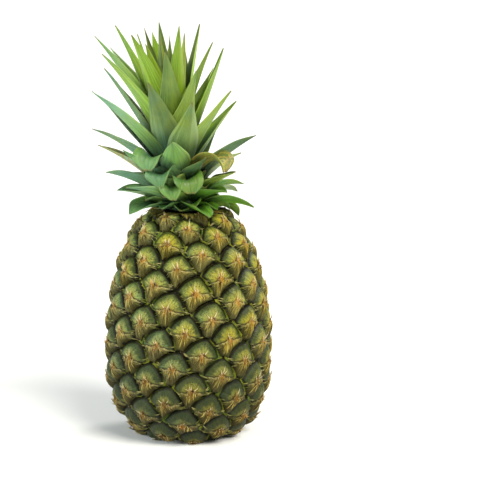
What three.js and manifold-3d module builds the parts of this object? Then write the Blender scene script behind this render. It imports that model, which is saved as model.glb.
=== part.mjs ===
// A whole pineapple that stands on its base: the fruit with its eyes, the leafy crown, and the stalk's cut end.
// Millimetres, Z up. The origin is on the table, in the middle of the cut end, and -Y is the front.
// Eyes and leaves both follow a spiral: each sits a golden angle further round than the one below it.

import * as THREE from "three";
import { mergeVertices } from "three/addons/utils/BufferGeometryUtils.js";
import Module from "manifold-3d";

const wasm = await Module();
wasm.setup();

const GOLDEN_ANGLE = Math.PI * (3 - Math.sqrt(5));
const TURN = 2 * Math.PI;
const MERGE_MM = 1e-3;

// The fruit, measured in the furrows between its eyes
const FRUIT_RADIUS = 61.6; // at its widest
const WIDEST_AT = 70; // height of the widest ring
const FRUIT_TOP = 180; // where the shoulder would close over the axis
const FOOT_TUCK = 2; // how far under the table the belly's curve would close
const BELLY_BEND = [2.35, 3.1]; // the two powers of the lower curve
const SHOULDER_BEND = [1.8, 3]; // and of the upper one
const SEAT_RADIUS = 18; // flat top, where the crown grows
const FOOT_STEPS = 30; // points of the outline across the foot
const OUTLINE_STEPS = 240; // and from there up to the seat

// The eyes
const EYE_AREA = 510; // of one eye on the widest ring, in square millimetres
const SMALL_EYE = 0.45; // an eye's area near the axis, as a share of that
const FIRST_EYE_ANGLE = 1.2;
const EYE_HEIGHT = 3.7; // of the dome over the furrow
const EYE_STRAY = 0.12; // how much that may differ, either way, as a share
const EYE_FULLNESS = 2.8; // how square-shouldered the dome is
const EYE_RINGS = [0.8, 0.45]; // where the dome is cut into rings, as shares of the way to the furrow
const BRACT_LIP = 1.1; // how far the bract stands proud of the lower half of the dome
const BRACT_TIP = 1.2; // how far its tip stands over the dome
const BRACT_SWEEP = 1.5; // how far the tip leans towards the crown
const EYE_PEAK = EYE_HEIGHT * (1 + EYE_STRAY) + BRACT_TIP;
const FOOT_FADE = 16; // length of outline over which the relief grows, above the foot
const SEAT_FADE = 12; // and over which it dies away, below the seat
const LONG_EDGE = 7; // an edge between two eyes gets a middle point if it is longer than this
const END_ARC = 0.33; // longest straight run round the pocket and the seat, in radians
const SPARE_EYES = 14; // past each end of the skin, to shape the last rows
const NEIGHBOUR_REACH = 36; // eyes whose numbers are further apart than this never touch
const SAME_ANGLE = 1e-5; // radians
const SAME_RISE = 1e-7;

// The cut end of the stalk, in its pocket in the foot
const STALK_RADIUS = 13;
const STALK_DEPTH = 10;
const STALK_SIDES = 20;
const STALK_BEVEL = 0.8;
const GAP = 0.4;
const POCKET_RADIUS = STALK_RADIUS + GAP;

// The crown. Heights in it are over the seat.
const LEAF_COUNT = 66;
const FIRST_LEAF_ANGLE = 0.35;
const CROWN_HEIGHT = 145;
const CROWN_STEP = 9; // how far its middle shifts towards -X within its lowest part
const CROWN_STEP_HEIGHT = 15;
const CROWN_LEAN = 18; // and how much further at its full height
const STEM_HEIGHT = 50;
const STEM_RADII = [15.5, 16, 14, 10, 6]; // from the seat up
const STEM_SIDES = 14;
const LEAF_CLEARANCE = 0.6; // least height of a leaf over the fruit's shoulder
const ROOT_DEPTH = 3; // how far a leaf starts inside the stem
const LEAF_THICKNESS = 1.8; // over the keel
const LEAF_THINNING = 0.55; // share of it lost by the tip
const LEAF_CHANNEL = 0.17; // how far the edges rise over the keel, as a share of the width
const LEAF_STATIONS = [0, 0.16, 0.36, 0.62, 0.84]; // along the middle line
const LEAF_OUTLINE = [0.42, 0.84, 1, 0.7, 0.36]; // width there, as a share of the widest

// How the leaves change up the crown, from the lowest to the innermost
const LEAF_ROOT_HEIGHT = [1.2, 5, 12, 21, 30, 38, 44, 48];
const LEAF_ROOT_TILT = [86, 62, 54, 44, 33, 22, 13, 3]; // from upright, in degrees
const LEAF_TIP_HEIGHT = [-6, 16, 35, 58, 90, 122, 143, 130];
const LEAF_TIP_RADIUS = [43, 56, 58, 57, 57, 54, 39, 9]; // from the crown's middle at that height
const LEAF_WIDTH = [21, 24, 25, 26, 27, 28, 26, 16];
const LEAF_BOW = [0.62, 0.62, 0.58, 0.54, 0.5, 0.5, 0.5, 0.5]; // length of the straight run from the root

// How far a leaf may stray from that, either way
const STRAY_TILT = 6; // degrees
const STRAY_TIP_RADIUS = 0.14; // as a share of the tip's own radius
const STRAY_TIP_HEIGHT = 5;
const STRAY_ANGLE = 0.09; // radians round the crown
const STRAY_WIDTH = 0.1; // as a share of the width
const STRAY_SWAY = 0.1; // sideways bend, as a share of the reach
const STRAY_TWIST = 0.45; // radians at the tip

// Leaves that arch right over, by number: how far past the root their tip comes down
const ROLLED_LEAVES = new Map([
  [7, 24],
  [15, 26],
  [20, 25],
  [31, 34],
  [33, 27],
]);
const ROLL_RISE = 30; // of the arch's control point over the root
const ROLL_TIP = 8; // of the tip over the root
const ROLLED_OUTLINE = [0.42, 0.88, 1, 0.95, 0.66];

// A repeatable draw between -1 and 1 for a leaf or an eye
function draw(index, channel) {
  const wave = Math.sin(index * 12.9898 + channel * 78.233) * 43758.5453;
  return 2 * (wave - Math.floor(wave)) - 1;
}

// The value of a curve that passes through evenly spaced numbers, for share from 0 to 1
function along(values, share) {
  const place = THREE.MathUtils.clamp(share, 0, 1) * (values.length - 1);
  const step = Math.min(Math.floor(place), values.length - 2);
  return THREE.MathUtils.lerp(values[step], values[step + 1], place - step);
}

function outlineRadius(z) {
  const below = z < WIDEST_AT;
  const reach = below ? (WIDEST_AT - z) / (WIDEST_AT + FOOT_TUCK) : (z - WIDEST_AT) / (FRUIT_TOP - WIDEST_AT);
  const [bend, round] = below ? BELLY_BEND : SHOULDER_BEND;
  return FRUIT_RADIUS * Math.max(0, 1 - reach ** bend) ** (1 / round);
}

function outlineHeight(radius) {
  const [bend, round] = SHOULDER_BEND;
  return WIDEST_AT + (FRUIT_TOP - WIDEST_AT) * (1 - (radius / FRUIT_RADIUS) ** round) ** (1 / bend);
}

const SEAT_HEIGHT = outlineHeight(SEAT_RADIUS);

// Points up the outline, from the pocket to the seat. Each has its length along the outline, its eye number,
// and its rise: the length measured in radii. Angle and rise together unroll the skin and keep its angles.
function traceOutline() {
  const foot = outlineRadius(0);
  const points = [];
  for (let i = 0; i < FOOT_STEPS; i++)
    points.push({ r: THREE.MathUtils.lerp(POCKET_RADIUS, foot, i / FOOT_STEPS), z: 0 });
  for (let i = 0; i <= OUTLINE_STEPS; i++) {
    const z = (SEAT_HEIGHT * (1 - Math.cos((Math.PI * i) / OUTLINE_STEPS))) / 2;
    points.push({ r: outlineRadius(z), z });
  }
  points.forEach((point, i) => {
    const last = points[i - 1];
    if (!last) return Object.assign(point, { length: 0, rise: 0, eye: 0 });
    const step = Math.hypot(point.r - last.r, point.z - last.z);
    const radius = (point.r + last.r) / 2;
    const area = EYE_AREA * THREE.MathUtils.lerp(SMALL_EYE, 1, radius / FRUIT_RADIUS);
    point.length = last.length + step;
    point.rise = last.rise + step / radius;
    point.eye = last.eye + (TURN * radius * step) / area;
  });
  return points;
}

const OUTLINE = traceOutline();
const TOP_RISE = OUTLINE.at(-1).rise;
const FOOT_LENGTH = outlineRadius(0) - POCKET_RADIUS;

// The outline where one of its columns has this value; past either end it is carried on in a straight line
function outlineWhere(column, value) {
  let i = OUTLINE.findIndex((point) => point[column] >= value);
  i = i < 1 ? (i === 0 ? 1 : OUTLINE.length - 1) : i;
  const [a, b] = [OUTLINE[i - 1], OUTLINE[i]];
  const share = (value - a[column]) / (b[column] - a[column]);
  const mixed = {};
  for (const key of Object.keys(a)) mixed[key] = THREE.MathUtils.lerp(a[key], b[key], share);
  mixed.out = new THREE.Vector2(b.z - a.z, a.r - b.r).normalize();
  return mixed;
}

// A point of the skin, with its outward and upward directions
function skin(angle, rise) {
  const place = outlineWhere("rise", rise);
  const [c, s] = [Math.cos(angle), Math.sin(angle)];
  return {
    point: new THREE.Vector3(place.r * c, place.r * s, place.z),
    out: new THREE.Vector3(place.out.x * c, place.out.x * s, place.out.y),
    up: new THREE.Vector3(-place.out.y * c, -place.out.y * s, place.out.x),
    fade: Math.min(
      THREE.MathUtils.smoothstep(place.length, FOOT_LENGTH - 2, FOOT_LENGTH + FOOT_FADE),
      THREE.MathUtils.smoothstep(OUTLINE.at(-1).length - place.length, 0, SEAT_FADE),
    ),
  };
}

// The part of a polygon nearer to the origin of (normal, offset) than the line normal . p = offset
function clip(polygon, normal, offset) {
  const kept = [];
  polygon.forEach((p, i) => {
    const q = polygon[(i + 1) % polygon.length];
    const [dp, dq] = [offset - normal.dot(p), offset - normal.dot(q)];
    if (dp >= 0) kept.push(p);
    if (dp * dq < 0) kept.push(p.clone().lerp(q, dp / (dp - dq)));
  });
  return kept;
}

// Middles of the eyes on the unrolled skin, with those past both ends that shape the last rows
function eyeMiddles() {
  const eyes = [];
  for (let n = -SPARE_EYES; n <= OUTLINE.at(-1).eye + SPARE_EYES; n++)
    eyes.push(new THREE.Vector2(FIRST_EYE_ANGLE + n * GOLDEN_ANGLE, outlineWhere("eye", n).rise));
  return eyes;
}

// The cell that an eye fills on the unrolled skin: all that is nearer to its middle than to any other
function eyeCell(eyes, number) {
  const middle = eyes[number];
  const corners = [
    [-1, -1],
    [1, -1],
    [1, 1],
    [-1, 1],
  ];
  let cell = corners.map(([x, y]) => new THREE.Vector2(x, y).multiplyScalar(Math.PI).add(middle));
  eyes.slice(Math.max(0, number - NEIGHBOUR_REACH), number + NEIGHBOUR_REACH + 1).forEach((other) => {
    if (other === middle) return;
    const round = Math.round((middle.x - other.x) / TURN);
    for (const turn of [round - 1, round, round + 1]) {
      const image = new THREE.Vector2(other.x + turn * TURN, other.y);
      const normal = image.clone().sub(middle);
      cell = clip(cell, normal, normal.dot(image.add(middle).multiplyScalar(0.5)));
    }
  });
  cell = clip(cell, new THREE.Vector2(0, -1), 0);
  return clip(cell, new THREE.Vector2(0, 1), TOP_RISE);
}

// The cell's edge with a middle point on each long side, and several round the pocket or the seat
function edgePoints(cell) {
  return cell.flatMap((p, i) => {
    const q = cell[(i + 1) % cell.length];
    const length = p.distanceTo(q) * outlineWhere("rise", (p.y + q.y) / 2).r;
    const onEnd = Math.max(p.y, q.y) < SAME_RISE || Math.min(p.y, q.y) > TOP_RISE - SAME_RISE;
    const parts = onEnd ? Math.ceil(Math.abs(p.x - q.x) / END_ARC) : length > LONG_EDGE ? 2 : 1;
    return Array.from({ length: parts }, (_, j) => p.clone().lerp(q, j / parts));
  });
}

// Height of an eye over its furrow. share is 1 in the furrow; side is 1 straight below the middle, -1 above it.
function eyeRelief(number, share, side) {
  const dome = EYE_HEIGHT * (1 + EYE_STRAY * draw(number, 1)) * (1 - share ** EYE_FULLNESS);
  const bract = 4 * BRACT_LIP * Math.max(0, side) * share * (1 - share);
  return dome + bract;
}

function raised(angle, rise, height, sweep = 0) {
  const place = skin(angle, rise);
  const p = place.point.addScaledVector(place.out, height * place.fade);
  p.addScaledVector(place.up, sweep * place.fade);
  p.z = Math.max(0, p.z);
  return p;
}

// Triangles between two rings that run the same way round, where the inner one may have fewer points
function band(triangles, outer, inner) {
  const [n, m] = [outer.length, inner.length];
  let [i, j] = [0, 0];
  while (i < n || j < m) {
    if (j === m || (i < n && (i + 1) * m <= (j + 1) * n)) {
      triangles.push([outer[i % n], outer[(i + 1) % n], inner[j % m]]);
      i++;
    } else {
      triangles.push([outer[i % n], inner[(j + 1) % m], inner[j % m]]);
      j++;
    }
  }
}

function fan(triangles, ring, middle) {
  ring.forEach((p, i) => triangles.push([p, ring[(i + 1) % ring.length], middle]));
}

// One eye: rings from the furrow up the dome, and the bract's tip
function addEye(triangles, middle, cell, number) {
  const edge = edgePoints(cell);
  const ringAt = (points, share) =>
    points.map((p) => {
      const q = middle.clone().lerp(p, share);
      const side = (middle.y - p.y) / middle.distanceTo(p);
      return raised(q.x, q.y, eyeRelief(number, share, side));
    });
  let outer = ringAt(edge, 1);
  EYE_RINGS.forEach((share, i) => {
    const inner = ringAt(i + 1 < EYE_RINGS.length ? edge : cell, share);
    band(triangles, outer, inner);
    outer = inner;
  });
  fan(triangles, outer, raised(middle.x, middle.y, eyeRelief(number, 0, 0) + BRACT_TIP, BRACT_SWEEP));
}

// The points of all cells on the circle at one end of the skin, in order round it
function endCircle(cells, rise) {
  const byAngle = new Map();
  for (const p of cells.flatMap(edgePoints)) {
    const angle = THREE.MathUtils.euclideanModulo(p.x, TURN);
    const key = Math.round(angle / SAME_ANGLE) % Math.round(TURN / SAME_ANGLE);
    if (Math.abs(p.y - rise) < SAME_RISE) byAngle.set(key, raised(p.x, p.y, 0));
  }
  return [...byAngle.keys()].sort((a, b) => a - b).map((key) => byAngle.get(key));
}

// One closed geometry of these triangles, without those that have shrunk to a line
function geometryOf(triangles) {
  const positions = new Float32Array(triangles.flatMap((t) => t.flatMap((p) => [p.x, p.y, p.z])));
  const soup = new THREE.BufferGeometry().setAttribute("position", new THREE.BufferAttribute(positions, 3));
  const merged = mergeVertices(soup, MERGE_MM);
  const index = merged.index.array;
  const kept = [];
  for (let i = 0; i < index.length; i += 3) {
    const [a, b, c] = index.subarray(i, i + 3);
    if (a !== b && b !== c && c !== a) kept.push(a, b, c);
  }
  return merged.setIndex(kept);
}

function fruitGeometry() {
  const triangles = [];
  const eyes = eyeMiddles();
  const cells = [];
  eyes.forEach((middle, number) => {
    const cell = eyeCell(eyes, number);
    if (cell.length < 3) return;
    let inside = middle;
    if (middle.y < 0 || middle.y > TOP_RISE) {
      inside = new THREE.Vector2();
      cell.forEach((p) => inside.addScaledVector(p, 1 / cell.length));
    }
    cells.push(cell);
    addEye(triangles, inside, cell, number);
  });
  const pocketMouth = endCircle(cells, 0);
  const pocketEnd = pocketMouth.map((p) => new THREE.Vector3(p.x, p.y, STALK_DEPTH + GAP));
  band(triangles, pocketEnd, pocketMouth);
  fan(triangles, pocketEnd.slice().reverse(), new THREE.Vector3(0, 0, STALK_DEPTH + GAP));
  fan(triangles, endCircle(cells, TOP_RISE), new THREE.Vector3(0, 0, SEAT_HEIGHT));
  return geometryOf(triangles);
}

// A round plug with bevelled ends
function stalkGeometry() {
  const inner = STALK_RADIUS - STALK_BEVEL;
  const profile = [
    [0, 0],
    [inner, 0],
    [STALK_RADIUS, STALK_BEVEL],
    [STALK_RADIUS, STALK_DEPTH],
    [0, STALK_DEPTH],
  ].map(([r, z]) => new THREE.Vector2(r, z));
  return new THREE.LatheGeometry(profile, STALK_SIDES).rotateX(Math.PI / 2);
}

// How far the crown's middle lies towards -X at a height
function crownShift(height) {
  const h = Math.max(0, height);
  return CROWN_STEP * (1 - Math.exp(-h / CROWN_STEP_HEIGHT)) + CROWN_LEAN * (h / CROWN_HEIGHT) ** 2;
}

// The middle line of a leaf in its own upright plane: (outwards, up), as a curve with one control point
function leafLine(number) {
  const share = number / (LEAF_COUNT - 1);
  const tilt = THREE.MathUtils.degToRad(along(LEAF_ROOT_TILT, share) + STRAY_TILT * draw(number, 2));
  const rootHeight = along(LEAF_ROOT_HEIGHT, share);
  const rootRadius = Math.max(0.5, along(STEM_RADII, rootHeight / STEM_HEIGHT) - ROOT_DEPTH);
  const root = new THREE.Vector2(rootRadius, rootHeight);
  const roll = ROLLED_LEAVES.get(number);
  if (roll) {
    const top = new THREE.Vector2(rootRadius + roll, rootHeight + ROLL_RISE);
    return new THREE.QuadraticBezierCurve(root, top, new THREE.Vector2(top.x, rootHeight + ROLL_TIP));
  }
  const tip = new THREE.Vector2(
    along(LEAF_TIP_RADIUS, share) * (1 + STRAY_TIP_RADIUS * draw(number, 3)),
    along(LEAF_TIP_HEIGHT, share) + STRAY_TIP_HEIGHT * draw(number, 4),
  );
  const run = root.distanceTo(tip) * along(LEAF_BOW, share);
  const bend = root.clone().add(new THREE.Vector2(Math.sin(tilt), Math.cos(tilt)).multiplyScalar(run));
  return new THREE.QuadraticBezierCurve(root, bend, tip);
}

// The tops of the eyes at a distance from the axis, measured over the crown's foot
function crestHeight(radius) {
  const [bend, round] = SHOULDER_BEND;
  const relief = EYE_PEAK * THREE.MathUtils.smoothstep(radius, SEAT_RADIUS, SEAT_RADIUS + SEAT_FADE);
  const reach = Math.min(1, Math.max(radius, SEAT_RADIUS) / (FRUIT_RADIUS + EYE_PEAK));
  const top = WIDEST_AT + (FRUIT_TOP + relief - WIDEST_AT) * (1 - reach ** round) ** (1 / bend);
  return top - SEAT_HEIGHT - GAP;
}

// Points of a leaf, all raised by what the lowest of them needs to lie clear of the fruit
function liftedClear(points) {
  const lacks = points.map((p) => crestHeight(Math.hypot(p.x, p.y)) + LEAF_CLEARANCE - p.z);
  const lift = Math.max(0, ...lacks);
  return points.map((p) => p.setZ(p.z + lift));
}

// A leaf as a channelled blade: sections of four points along its middle line, and a tip
function leafSolid(number) {
  const share = number / (LEAF_COUNT - 1);
  const line = leafLine(number);
  const angle = FIRST_LEAF_ANGLE + number * GOLDEN_ANGLE + STRAY_ANGLE * draw(number, 5);
  const width = along(LEAF_WIDTH, share) * (1 + STRAY_WIDTH * draw(number, 6));
  const sway = STRAY_SWAY * draw(number, 7) * line.v0.distanceTo(line.v2);
  const twist = STRAY_TWIST * draw(number, 8);
  const outline = ROLLED_LEAVES.has(number) ? ROLLED_OUTLINE : LEAF_OUTLINE;
  const out = new THREE.Vector3(Math.cos(angle), Math.sin(angle), 0);
  const side = new THREE.Vector3(-Math.sin(angle), Math.cos(angle), 0);
  const place = (t) => {
    const p = line.getPoint(t);
    const v = out.clone().multiplyScalar(p.x).addScaledVector(side, sway * t * t);
    return v.add(new THREE.Vector3(-crownShift(p.y), 0, p.y));
  };
  const sections = LEAF_STATIONS.map((t, i) => {
    const middle = place(t);
    const run = line.getTangent(t);
    const forward = out.clone().multiplyScalar(run.x).setZ(run.y);
    const across = side.clone().applyAxisAngle(forward, twist * t);
    const inward = across.clone().cross(forward).negate();
    const half = (width * outline[i]) / 2;
    const thick = (LEAF_THICKNESS * (1 - LEAF_THINNING * t)) / 2;
    const lift = 2 * half * LEAF_CHANNEL;
    const edge = across.multiplyScalar(half);
    const raise = inward.clone().multiplyScalar(lift);
    const back = inward.clone().multiplyScalar(thick);
    return liftedClear([
      middle.clone().sub(edge).add(raise),
      middle.clone().sub(back),
      middle.clone().add(edge).add(raise),
      middle.clone().add(back),
    ]);
  });
  const triangles = [];
  sections.slice(1).forEach((section, i) => band(triangles, sections[i], section));
  fan(triangles, sections.at(-1), liftedClear([place(1)])[0]);
  const [a, b, c, d] = sections[0];
  triangles.push([a, c, b], [a, d, c]);
  return manifoldOf(geometryOf(triangles));
}

function stemSolid() {
  const profile = [new THREE.Vector2(0, 0)];
  const step = STEM_HEIGHT / (STEM_RADII.length - 1);
  STEM_RADII.forEach((r, i) => profile.push(new THREE.Vector2(r, step * i)));
  profile.push(new THREE.Vector2(0, STEM_HEIGHT + 2));
  const stem = new THREE.LatheGeometry(profile, STEM_SIDES).rotateX(Math.PI / 2);
  const position = stem.attributes.position;
  for (let i = 0; i < position.count; i++) position.setX(i, position.getX(i) - crownShift(position.getZ(i)));
  return manifoldOf(stem);
}

function manifoldOf(geometry) {
  geometry.deleteAttribute("normal");
  geometry.deleteAttribute("uv");
  const merged = mergeVertices(geometry, MERGE_MM);
  return new wasm.Manifold(
    new wasm.Mesh({
      numProp: 3,
      vertProperties: merged.attributes.position.array,
      triVerts: new Uint32Array(merged.index.array),
    }),
  );
}

// The stem and all its leaves in one solid. Fusing them seals small hollows between the leaf bases, which
// split off as bodies of their own; keeping only the largest body fills them.
function crownGeometry() {
  const solids = [stemSolid()];
  for (let number = 0; number < LEAF_COUNT; number++) solids.push(leafSolid(number));
  const bodies = wasm.Manifold.union(solids).decompose();
  const mesh = bodies.reduce((a, b) => (a.volume() > b.volume() ? a : b)).getMesh();
  return new THREE.BufferGeometry()
    .setAttribute("position", new THREE.BufferAttribute(mesh.vertProperties, mesh.numProp))
    .setIndex(new THREE.BufferAttribute(mesh.triVerts, 1));
}

function piece(name, geometry, color, roughness) {
  const mesh = new THREE.Mesh(geometry, new THREE.MeshStandardMaterial({ color, roughness, metalness: 0 }));
  mesh.name = name;
  return mesh;
}

const pineapple = new THREE.Group();
const fruit = piece("fruit", fruitGeometry(), 0x6f6a35, 0.6);
const stalk = piece("stalk", stalkGeometry(), 0xb59a63, 0.8);
const crown = piece("crown", crownGeometry(), 0x5d8a3f, 0.45);
crown.position.z = SEAT_HEIGHT + GAP;
pineapple.add(fruit, stalk, crown);

export default pineapple;
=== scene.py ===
# %% [markdown]
# # A pineapple that stands on its base
# A pineapple is many small fruits grown into one. Each of them shows as an eye in the skin, and the eyes
# wind round the fruit in spirals. On top grows a crown of stiff leaves, which keeps to the same spiral
# rule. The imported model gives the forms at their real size. This lesson gives them their finish: the
# layers of each eye, the dry tips in its middle, the channelled leaves and the fibres of the cut stalk.

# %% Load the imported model
import math

import bpy
import numpy as np
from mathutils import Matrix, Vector


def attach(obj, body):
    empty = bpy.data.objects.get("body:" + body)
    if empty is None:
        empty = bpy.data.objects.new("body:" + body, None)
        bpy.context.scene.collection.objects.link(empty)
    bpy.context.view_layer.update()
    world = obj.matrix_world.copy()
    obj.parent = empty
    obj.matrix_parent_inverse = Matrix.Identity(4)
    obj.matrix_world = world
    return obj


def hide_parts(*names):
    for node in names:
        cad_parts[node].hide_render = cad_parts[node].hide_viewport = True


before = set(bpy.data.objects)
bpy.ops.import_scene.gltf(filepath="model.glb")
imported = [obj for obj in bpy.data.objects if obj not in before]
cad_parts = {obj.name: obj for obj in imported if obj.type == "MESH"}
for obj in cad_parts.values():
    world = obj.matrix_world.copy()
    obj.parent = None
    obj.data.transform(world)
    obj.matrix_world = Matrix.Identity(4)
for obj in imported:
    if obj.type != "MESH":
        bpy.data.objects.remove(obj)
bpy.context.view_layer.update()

# %% [markdown]
# ## Camera
# The photograph looks at the fruit from a little above, from far enough away that the outline hardly
# shrinks with distance. The fruit stands left of the middle, so the camera aims at a point beside it, and
# the lens is worked out from the real size of one pixel.

# %% Set up the camera
PHOTO_SIDE = 500  # pixels
MM_PER_PIXEL = 0.783
AXIS_PIXEL = 188  # column of the photograph that the fruit's axis stands on
AIM_HEIGHT = 0.1463  # the height that its middle row shows
CAMERA_DISTANCE = 1.35
CAMERA_ELEVATION = math.radians(10)

half_view = PHOTO_SIDE / 2 * MM_PER_PIXEL / 1000
aim = Vector(((PHOTO_SIDE / 2 - AXIS_PIXEL) * MM_PER_PIXEL / 1000, 0, AIM_HEIGHT))
back = Vector((0, -math.cos(CAMERA_ELEVATION), math.sin(CAMERA_ELEVATION)))
camera_data = bpy.data.cameras.new("photo_camera")
camera_data.lens = camera_data.sensor_width / 2 * CAMERA_DISTANCE / half_view
camera = bpy.data.objects.new("photo_camera", camera_data)
camera.location = aim + back * CAMERA_DISTANCE
camera.rotation_euler = back.to_track_quat("Z", "Y").to_euler()
bpy.context.scene.collection.objects.link(camera)
bpy.context.scene.camera = camera
print("lens", round(camera_data.lens, 1), "mm")

# %% [markdown]
# ## Small tools for materials
# A material is a tree of nodes, and trees that are built in code soon get long. Short helpers keep each
# finish readable. One adds a node and fills or links its inputs. Others do sums, turn a value into a
# smooth mask between two limits, mix two colours by a mask and lay a tint over a colour.

# %% Define the node helpers
def node(tree, kind, inputs=None, **settings):
    """A new node with these settings; each input is filled with a number or linked to a socket."""
    made = tree.nodes.new(kind)
    for key, value in settings.items():
        setattr(made, key, value)
    for key, value in (inputs or {}).items():
        if isinstance(value, bpy.types.NodeSocket):
            tree.links.new(value, made.inputs[key])
        else:
            made.inputs[key].default_value = value
    return made


def sums(tree, operation, *values):
    """The result of one operation on numbers and sockets."""
    return node(tree, "ShaderNodeMath", dict(enumerate(values)), operation=operation).outputs[0]


def times(tree, first, second):
    """One value times another."""
    return sums(tree, "MULTIPLY", first, second)


def nudged(tree, value, other, factor):
    """A value plus a factor times another."""
    return sums(tree, "MULTIPLY_ADD", other, factor, value)


def mask_between(tree, value, low, high):
    """0 where the value is at low and 1 where it is at high, smooth between them."""
    limits = {"Value": value, "From Min": low, "From Max": high}
    return node(tree, "ShaderNodeMapRange", limits, interpolation_type="SMOOTHSTEP").outputs[0]


def mixed(tree, mask, low, high):
    """Colour low where the mask is 0 and high where it is 1."""
    low, high = [(*c, 1) if isinstance(c, tuple) else c for c in (low, high)]
    return node(tree, "ShaderNodeMix", {0: mask, 6: low, 7: high}, data_type="RGBA").outputs[2]


def tinted(tree, color, mask, strength, tint):
    """A colour with a tint laid over it through a mask, at most this strongly."""
    return mixed(tree, times(tree, mask, strength), color, tint)


print("node helpers ready")

# %% Start and finish a material
def stored(tree, name):
    """The three numbers of a stored map, as sockets, and the vector of them."""
    color = node(tree, "ShaderNodeAttribute", attribute_name=name).outputs["Color"]
    parts = node(tree, "ShaderNodeSeparateColor", {0: color})
    return [*parts.outputs, color]


def new_material(name, roughness, gloss=0.5):
    """A material with this gloss all over, and its tree of nodes."""
    material = bpy.data.materials.new(name)
    material.use_nodes = True
    shader = material.node_tree.nodes["Principled BSDF"]
    shader.inputs["Roughness"].default_value = roughness
    shader.inputs["Specular IOR Level"].default_value = gloss
    return material, material.node_tree


def finish_material(material, pieces, color, height=None, depth=0.0003, roughness=None):
    """Link colour, relief (its depth in metres) and roughness to the shader, and dress the pieces in it."""
    tree = material.node_tree
    shader = tree.nodes["Principled BSDF"]
    tree.links.new(color, shader.inputs["Base Color"])
    if height is not None:
        bump = node(tree, "ShaderNodeBump", {"Height": height, "Distance": depth, "Strength": 1.0})
        tree.links.new(bump.outputs[0], shader.inputs["Normal"])
    if roughness is not None:
        tree.links.new(roughness, shader.inputs["Roughness"])
    for piece in pieces:
        piece.data.materials.append(material)
    print("finish", material.name, "has", len(tree.nodes), "nodes")


print("material helpers ready")

# %% Make and place node groups
def new_group(name, inputs, outputs):
    """An empty node group, the sockets that hold what it is given, and those that take its results."""
    group = bpy.data.node_groups.new(name, "ShaderNodeTree")
    for in_out, sockets in (("INPUT", inputs), ("OUTPUT", outputs)):
        for label, kind, *value in sockets:
            socket = group.interface.new_socket(label, in_out=in_out, socket_type=f"NodeSocket{kind}")
            if value:
                socket.default_value = value[0]
    return group, group.nodes.new("NodeGroupInput").outputs, group.nodes.new("NodeGroupOutput").inputs


def placed(tree, group, output=0, **inputs):
    """An output of a group that is placed in a material with these values."""
    return node(tree, "ShaderNodeGroup", inputs, node_tree=group).outputs[output]


def parts_of(tree, vector):
    """The x, y and z of a vector."""
    return [*node(tree, "ShaderNodeSeparateXYZ", {0: vector}).outputs]


def vector_of(tree, *parts):
    """The vector with these parts."""
    return node(tree, "ShaderNodeCombineXYZ", dict(enumerate(parts))).outputs[0]


def noise(tree, place, scale, detail, roughness=0.5):
    """A value from 0 to 1 that wanders from place to place."""
    inputs = {"Vector": place, "Scale": scale, "Detail": detail, "Roughness": roughness}
    return node(tree, "ShaderNodeTexNoise", inputs).outputs[0]


print("group helpers ready")

# %% [markdown]
# ## Effects that several finishes share
# Fibres run through the bracts and the leaves alike: fine streaks, long in one direction. In an eye they
# fan out from the middle. Blotches vary the colour of everything that grows. Each eye has ripened a
# little differently, and on top of that the side of the fruit that faces the key lamp is painted riper
# and yellower, a painted light, and the fruit is painted darker towards its foot, a painted shade. A waxy
# bloom, a thin grey-blue powder, lies on the leaves and on the upper half of the eyes, and it is rubbed
# off in places. Each effect is a node group, placed in each material with its own numbers.

# %% Build the fibre group
SEED_STEP = 31.7  # so far apart that two seeds share no pattern

fibres, given, put = new_group(
    "fibres",
    [("Place", "Vector"), ("Count", "Float", 10.0), ("Length", "Float", 1.0), ("Seed", "Float", 0.0)],
    [("Streaks", "Float")],
)
x, y, _ = parts_of(fibres, given["Place"])
x, y = times(fibres, x, given["Count"]), times(fibres, y, given["Length"])
place = vector_of(fibres, x, y, times(fibres, given["Seed"], SEED_STEP))
streaks = noise(fibres, place, 1.0, 3.0, 0.6)
fibres.links.new(mask_between(fibres, streaks, 0.3, 0.7), put["Streaks"])
print(fibres.name, "has", len(fibres.nodes), "nodes")

# %% Build the fan group
fan_fibres, given, put = new_group(
    "fan_fibres",
    [("Place", "Vector"), ("Count", "Float", 7.0), ("Seed", "Float", 0.0)],
    [("Streaks", "Float")],
)
in_plane = {0: given["Place"], 1: (1.0, 1.0, 0.0)}
flat = node(fan_fibres, "ShaderNodeVectorMath", in_plane, operation="MULTIPLY").outputs[0]
size = node(fan_fibres, "ShaderNodeVectorMath", {0: flat}, operation="LENGTH").outputs["Value"]
pointing = node(fan_fibres, "ShaderNodeVectorMath", {0: flat}, operation="NORMALIZE").outputs[0]
x, y = [times(fan_fibres, part, given["Count"]) for part in parts_of(fan_fibres, pointing)[:2]]
z = nudged(fan_fibres, times(fan_fibres, given["Seed"], SEED_STEP), size, 1.3)
streaks = noise(fan_fibres, vector_of(fan_fibres, x, y, z), 1.0, 4.0, 0.65)
fan_fibres.links.new(mask_between(fan_fibres, streaks, 0.34, 0.64), put["Streaks"])
print(fan_fibres.name, "has", len(fan_fibres.nodes), "nodes")

# %% Build the group of ripening and painted light
ripeness_and_painted_light, given, put = new_group(
    "ripeness_and_painted_light",
    [("Own", "Float", 0.5)],
    [("Ripe", "Float"), ("Shade", "Float")],
)
x, _, z = parts_of(ripeness_and_painted_light, node(ripeness_and_painted_light, "ShaderNodeTexCoord").outputs["Object"])
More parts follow.
